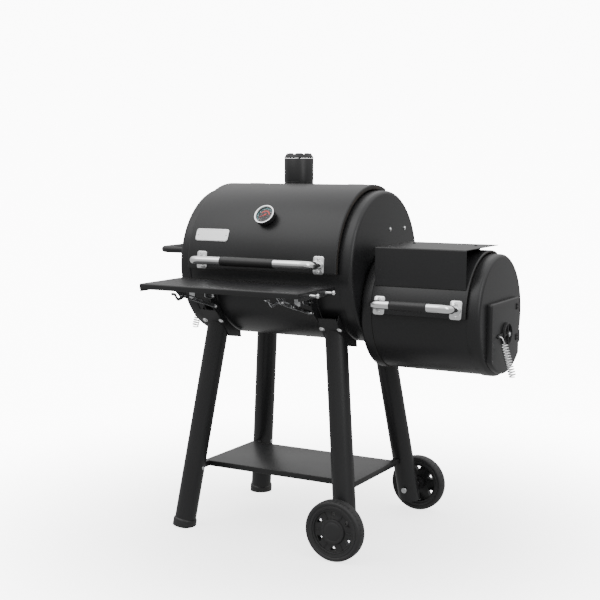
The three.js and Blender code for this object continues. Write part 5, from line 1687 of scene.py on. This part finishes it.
class SMOKER_OT_folding_shelf(bpy.types.Operator):
    """Builds the folding front shelf with its pegs, arms, struts and levers"""

    bl_idname = "smoker.folding_shelf"
    bl_label = "Folding shelf"

    def execute(self, context):
        s = Sizes(context.scene.smoker_shelf)
        low, high = box("front_shelf")
        top = high.z
        pan = Solid().block(low.x, high.x, low.y, high.y, top - s.flange, top)
        hollow = Solid().block(low.x + 2, high.x - 2, low.y + 2, high.y - 2, top - 60, top - 2)
        piece(
            "shelf_pan", pan, "folding_shelf", "coat", "front_shelf", soft=s.roll, segments=5,
            cuts=[hollow],
        )
        lips = Solid()
        for x, way in ((low.x, 1), (high.x, -1)):
            xs = sorted((x, x + way * 2))
            lips.block(*xs, low.y + 6, high.y - 6, top - 27, top - s.flange + 6)
        piece("shelf_side_lips", lips, "folding_shelf", "coat", edge=0.6)
        for name in ("front", "rear"):
            near, far = box("tool_peg_" + name)
            y, z = (near.y + far.y) / 2, (near.z + far.z) / 2
            profile = [
                (0, 0), (6.5, 0), (6.5, 1), (4, 1.6), (3.6, 4), (3.4, 19), (3.8, 21.5), (5.6, 23.4),
                (7.2, 25.6),
            ]
            profile += [(7.5, 27.6), (6.9, 29.8), (5.2, 31.6), (2.6, 32.4), (0, 32.5)]
            peg = Solid().turned(profile, (near.x, y, z), (1, 0, 0), 36)
            piece("peg_" + name, peg, "folding_shelf", "chrome", "tool_peg_" + name)
        for side, sx in (("left", -1), ("right", 1)):
            self.arm(side, sx, top)
        return {"FINISHED"}

    def bar(self, points, width, x0, x1, taper=1.0):
        """A flat bar with round ends that follows a line of (y, z) points."""
        left, right = [], []
        count = len(points)
        for i, (y, z) in enumerate(points):
            before, after = points[max(i - 1, 0)], points[min(i + 1, count - 1)]
            ahead = Vector((after[0] - before[0], after[1] - before[1])).normalized()
            half = width / 2 * (1 + (taper - 1) * i / (count - 1))
            left.append((y - ahead.y * half, z + ahead.x * half))
            right.append((y + ahead.y * half, z - ahead.x * half))
        outline = list(left)
        for middle, start, turns in (
            (points[-1], left[-1], range(1, 8)), (points[0], right[0], range(1, 8)),
        ):
            arm = Vector((start[0] - middle[0], start[1] - middle[1]))
            for k in turns:
                a = -math.pi * k / 8
                c, n = math.cos(a), math.sin(a)
                outline.append((middle[0] + arm.x * c - arm.y * n, middle[1] + arm.x * n + arm.y * c))
            if middle is points[-1]:
                outline += right[::-1]
        return Solid().slab(outline, x0, x1)

    def arm(self, side, sx, top):
        flip = Matrix.Diagonal((sx, 1, 1, 1))
        under = top - 2.3
        x0, x1 = 190.5, 193
        outline = [
            (-495, 876), (-478, 862), (-466, 851.5), (-459, 847), (-453, 845.6), (-447, 847),
            (-441, 851.5),
        ]
        outline += [
            (-430, 866), (-418, 871.5), (-320, 871.2), (-320, 838), (-314, 834.4), (-283, 826.4),
            (-274, 824.6), (-266, 826),
        ]
        outline += [
            (-261.6, 830), (-260, 836), (-261, 843), (-266, 850), (-299.5, 862), (-299.5, under),
            (-495, under),
        ]
        plate = Solid().slab(outline, x0, x1).moved(flip)
        hole = Solid().rod((sx * 180, *SHELF_PIVOT), (sx * 200, *SHELF_PIVOT), 4.5, 24)
        slot_hole = Solid().slab(
            [(-400, 880), (-340, 880), (-340, 888), (-400, 888)], 180, 200,
        ).moved(flip)
        piece(
            "arm_plate_" + side, plate, "folding_shelf", "zinc", "shelf_arm_" + side,
            cuts=[hole, slot_hole], edge=0.5,
        )
        rest = Solid().block(x0, x1 + 15, -490, -322, under - 2.4, under)
        rest.prism(
            [
                (x1 + 0.2, 871), (x1 + 0.2, 842), (x1 + 16, 834), (x1 + 22, 836), (x1 + 22, 893.4),
                (x1 + 0.2, 893.4),
            ],
            -378, -375.6, lambda u, v, w: (u, w, v),
        )
        rest.moved(flip)
        piece("arm_flange_" + side, rest, "folding_shelf", "zinc", edge=0.4)
        pin = Solid().rod((sx * 175, *STRUT_HEAD), (sx * 196, *STRUT_HEAD), 3.9, 24)
        bolt(pin, (sx * 193.2, *STRUT_HEAD), (sx, 0, 0), 5.2)
        for y in (-470, -410, -345):
            bolt(pin, (sx * 200, y, under - 2.4), (0, 0, -1), 3.2)
        piece("arm_pin_" + side, pin, "folding_shelf", "chrome")

        foot, head = Vector(STRUT_FOOT), Vector(STRUT_HEAD)
        ahead = (head - foot).normalized()
        run = lambda origin, a, b, n: [tuple(origin + ahead * (a + (b - a) * i / n)) for i in range(n + 1)]
        lower = self.bar(run(foot, 0, 122, 4), 13, 185, 187.6).moved(flip)
        hole = Solid().rod((sx * 170, *foot), (sx * 200, *foot), 4.5, 24)
        piece(
            "strut_bar_lower_" + side, lower, "lower_strut_" + side, "zinc", "strut_lower_" + side,
            cuts=[hole], edge=0.5,
        )
        rivet = foot + ahead * 112
        nub = Solid().turned(
            [(0, -4.2), (4.6, -4.2), (4.6, -3.4), (2.4, -3.2), (2.4, 0.3), (5, 0.4), (4, 2), (0, 2.3)],
            (187.3, *rivet), (1, 0, 0), 24,
        )
        piece("strut_rivet_" + side, nub.moved(flip), "lower_strut_" + side, "chrome")
        upper = self.bar(run(head, 0, -112, 4), 15, 181.6, 184.4).moved(flip)
        slot_points = run(head, -30, -104, 4)
        slot_cut = self.bar(slot_points, 5.6, 170, 200).moved(flip)
        hole = Solid().rod((sx * 170, *head), (sx * 200, *head), 4.5, 24)
        piece(
            "strut_bar_upper_" + side, upper, "upper_strut_" + side, "zinc", "strut_upper_" + side,
            cuts=[slot_cut, hole], edge=0.5,
        )
        curve = [
            (-453, 856), (-466, 852.4), (-478, 849.6), (-487, 847.4), (-494, 847), (-499, 850),
            (-504, 855), (-509, 862), (-516, 866.4), (-528, 868),
        ]
        lever = self.bar(curve, 11, 177.2, 179.9, 0.8).moved(flip)
        hole = Solid().rod((sx * 170, *head), (sx * 200, *head), 4.5, 24)
        piece(
            "lever_plate_" + side, lever, "lever_" + side, "zinc", "shelf_lever_" + side, cuts=[hole],
            edge=0.5,
        )
        tab = Solid().block(171, 180, -529, -512, 866.6, 869).moved(flip)
        piece("lever_tab_" + side, tab, "lever_" + side, "zinc", edge=0.6)


class SMOKER_OT_stage(bpy.types.Operator):
    """Sets up the floor, the lights and the camera"""

    bl_idname = "smoker.stage"
    bl_label = "Stage"

    def execute(self, context):
        scene = context.scene
        settings = scene.smoker_stage
        rim = [(0, -0.2)]
        for i in range(13):
            turn = math.radians(90 * i / 12)
            rim.append((20000 + 6000 * math.sin(turn), 6000 - 6000 * math.cos(turn) - 0.2))
        rim += [(26000, 16000), (26200, 16000), (26200, -200), (0, -200)]
        bowl = Solid().turned(rim, (0, 0, 0), (0, 0, 1), 96)
        floor = to_object("studio_floor", to_bmesh(bowl))
        floor.data.shade_smooth()
        floor.data.materials.append(FINISHES["floor"])
        floor.visible_glossy = False
        floor.visible_diffuse = False
        middle = ORIGIN + Vector((0.13, 0, 0.7))
        for name, power, size, place in (
            ("key", settings.key, (3.2, 3.2), (-1.6, -2.2, 3.6)),
            ("side", settings.side, (1.4, 3.0), (3.4, -1.6, 2.0)),
        ):
            data = bpy.data.lights.new(name, "AREA")
            data.shape = "RECTANGLE"
            data.size, data.size_y = size
            data.energy = power
            lamp = bpy.data.objects.new(name, data)
            lamp.location = middle + Vector(place)
            lamp.rotation_euler = (middle - lamp.location).to_track_quat("-Z", "Y").to_euler()
            scene.collection.objects.link(lamp)
        scene.world = self.surround(settings)
        data = bpy.data.cameras.new("view")
        data.sensor_width = 36
        data.lens = 71.34
        data.clip_end = 200
        camera = bpy.data.objects.new("view", data)
        camera.location = ORIGIN + Vector((2.0745, -3.6594, 1.305))
        camera.rotation_euler = (math.radians(90 - 6.786), 0, math.radians(29.551))
        scene.collection.objects.link(camera)
        scene.camera = camera
        return {"FINISHED"}

    @staticmethod
    def surround(settings):
        """A white surround, bright overhead and dimmer towards the horizon and below it."""
        world = bpy.data.worlds.new("surround")
        world.use_nodes = True
        tree = world.node_tree
        place = tree.nodes.new("ShaderNodeTexCoord")
        parts = tree.nodes.new("ShaderNodeSeparateXYZ")
        rise = tree.nodes.new("ShaderNodeMapRange")
        rise.interpolation_type = "SMOOTHSTEP"
        for key, value in (
            ("From Min", 0.0), ("From Max", 0.9), ("To Min", settings.level),
            ("To Max", settings.above),
        ):
            rise.inputs[key].default_value = value
        background = tree.nodes["Background"]
        background.inputs["Color"].default_value = (1, 1, 1, 1)
        tree.links.new(place.outputs["Generated"], parts.inputs[0])
        tree.links.new(parts.outputs["Z"], rise.inputs["Value"])
        tree.links.new(rise.outputs[0], background.inputs["Strength"])
        return world


PIECE_OPERATORS = (
    SMOKER_OT_finishes,
    SMOKER_OT_cook_chamber,
    SMOKER_OT_grates,
    SMOKER_OT_main_lid,
    SMOKER_OT_thermometer,
    SMOKER_OT_chimney,
    SMOKER_OT_firebox,
    SMOKER_OT_firebox_lid,
    SMOKER_OT_firebox_door,
    SMOKER_OT_stand,
    SMOKER_OT_wheels,
    SMOKER_OT_folding_shelf,
    SMOKER_OT_stage,
)

SETTINGS = {
    "smoker_finishes": FinishSettings,
    "smoker_chamber": ChamberSizes,
    "smoker_lid": LidSizes,
    "smoker_gauge": GaugeSizes,
    "smoker_chimney": ChimneySizes,
    "smoker_firebox": FireboxSizes,
    "smoker_stand": StandSizes,
    "smoker_shelf": ShelfSizes,
    "smoker_stage": StageSettings,
}


class SMOKER_PT_panel(bpy.types.Panel):
    """Lists the smoker's settings and the operators that build it"""

    bl_idname = "SMOKER_PT_panel"
    bl_label = "Smoker"
    bl_space_type = "VIEW_3D"
    bl_region_type = "UI"
    bl_category = "Smoker"

    def draw(self, context):
        for name in SETTINGS:
            group = getattr(context.scene, name)
            column = self.layout.column(align=True)
            for prop in group.bl_rna.properties:
                if prop.identifier not in ("rna_type", "name"):
                    column.prop(group, prop.identifier)
        for operator in PIECE_OPERATORS:
            self.layout.operator(operator.bl_idname)


def register():
    for name, group in SETTINGS.items():
        bpy.utils.register_class(group)
        setattr(bpy.types.Scene, name, PointerProperty(type=group))
    for operator in PIECE_OPERATORS:
        bpy.utils.register_class(operator)
    bpy.utils.register_class(SMOKER_PT_panel)


def unregister():
    bpy.utils.unregister_class(SMOKER_PT_panel)
    for operator in reversed(PIECE_OPERATORS):
        bpy.utils.unregister_class(operator)
    for name, group in SETTINGS.items():
        delattr(bpy.types.Scene, name)
        bpy.utils.unregister_class(group)


def main():
    register()
    for operator in PIECE_OPERATORS:
        getattr(bpy.ops.smoker, operator.bl_idname.split(".")[1])()


if __name__ == "__main__":
    main()
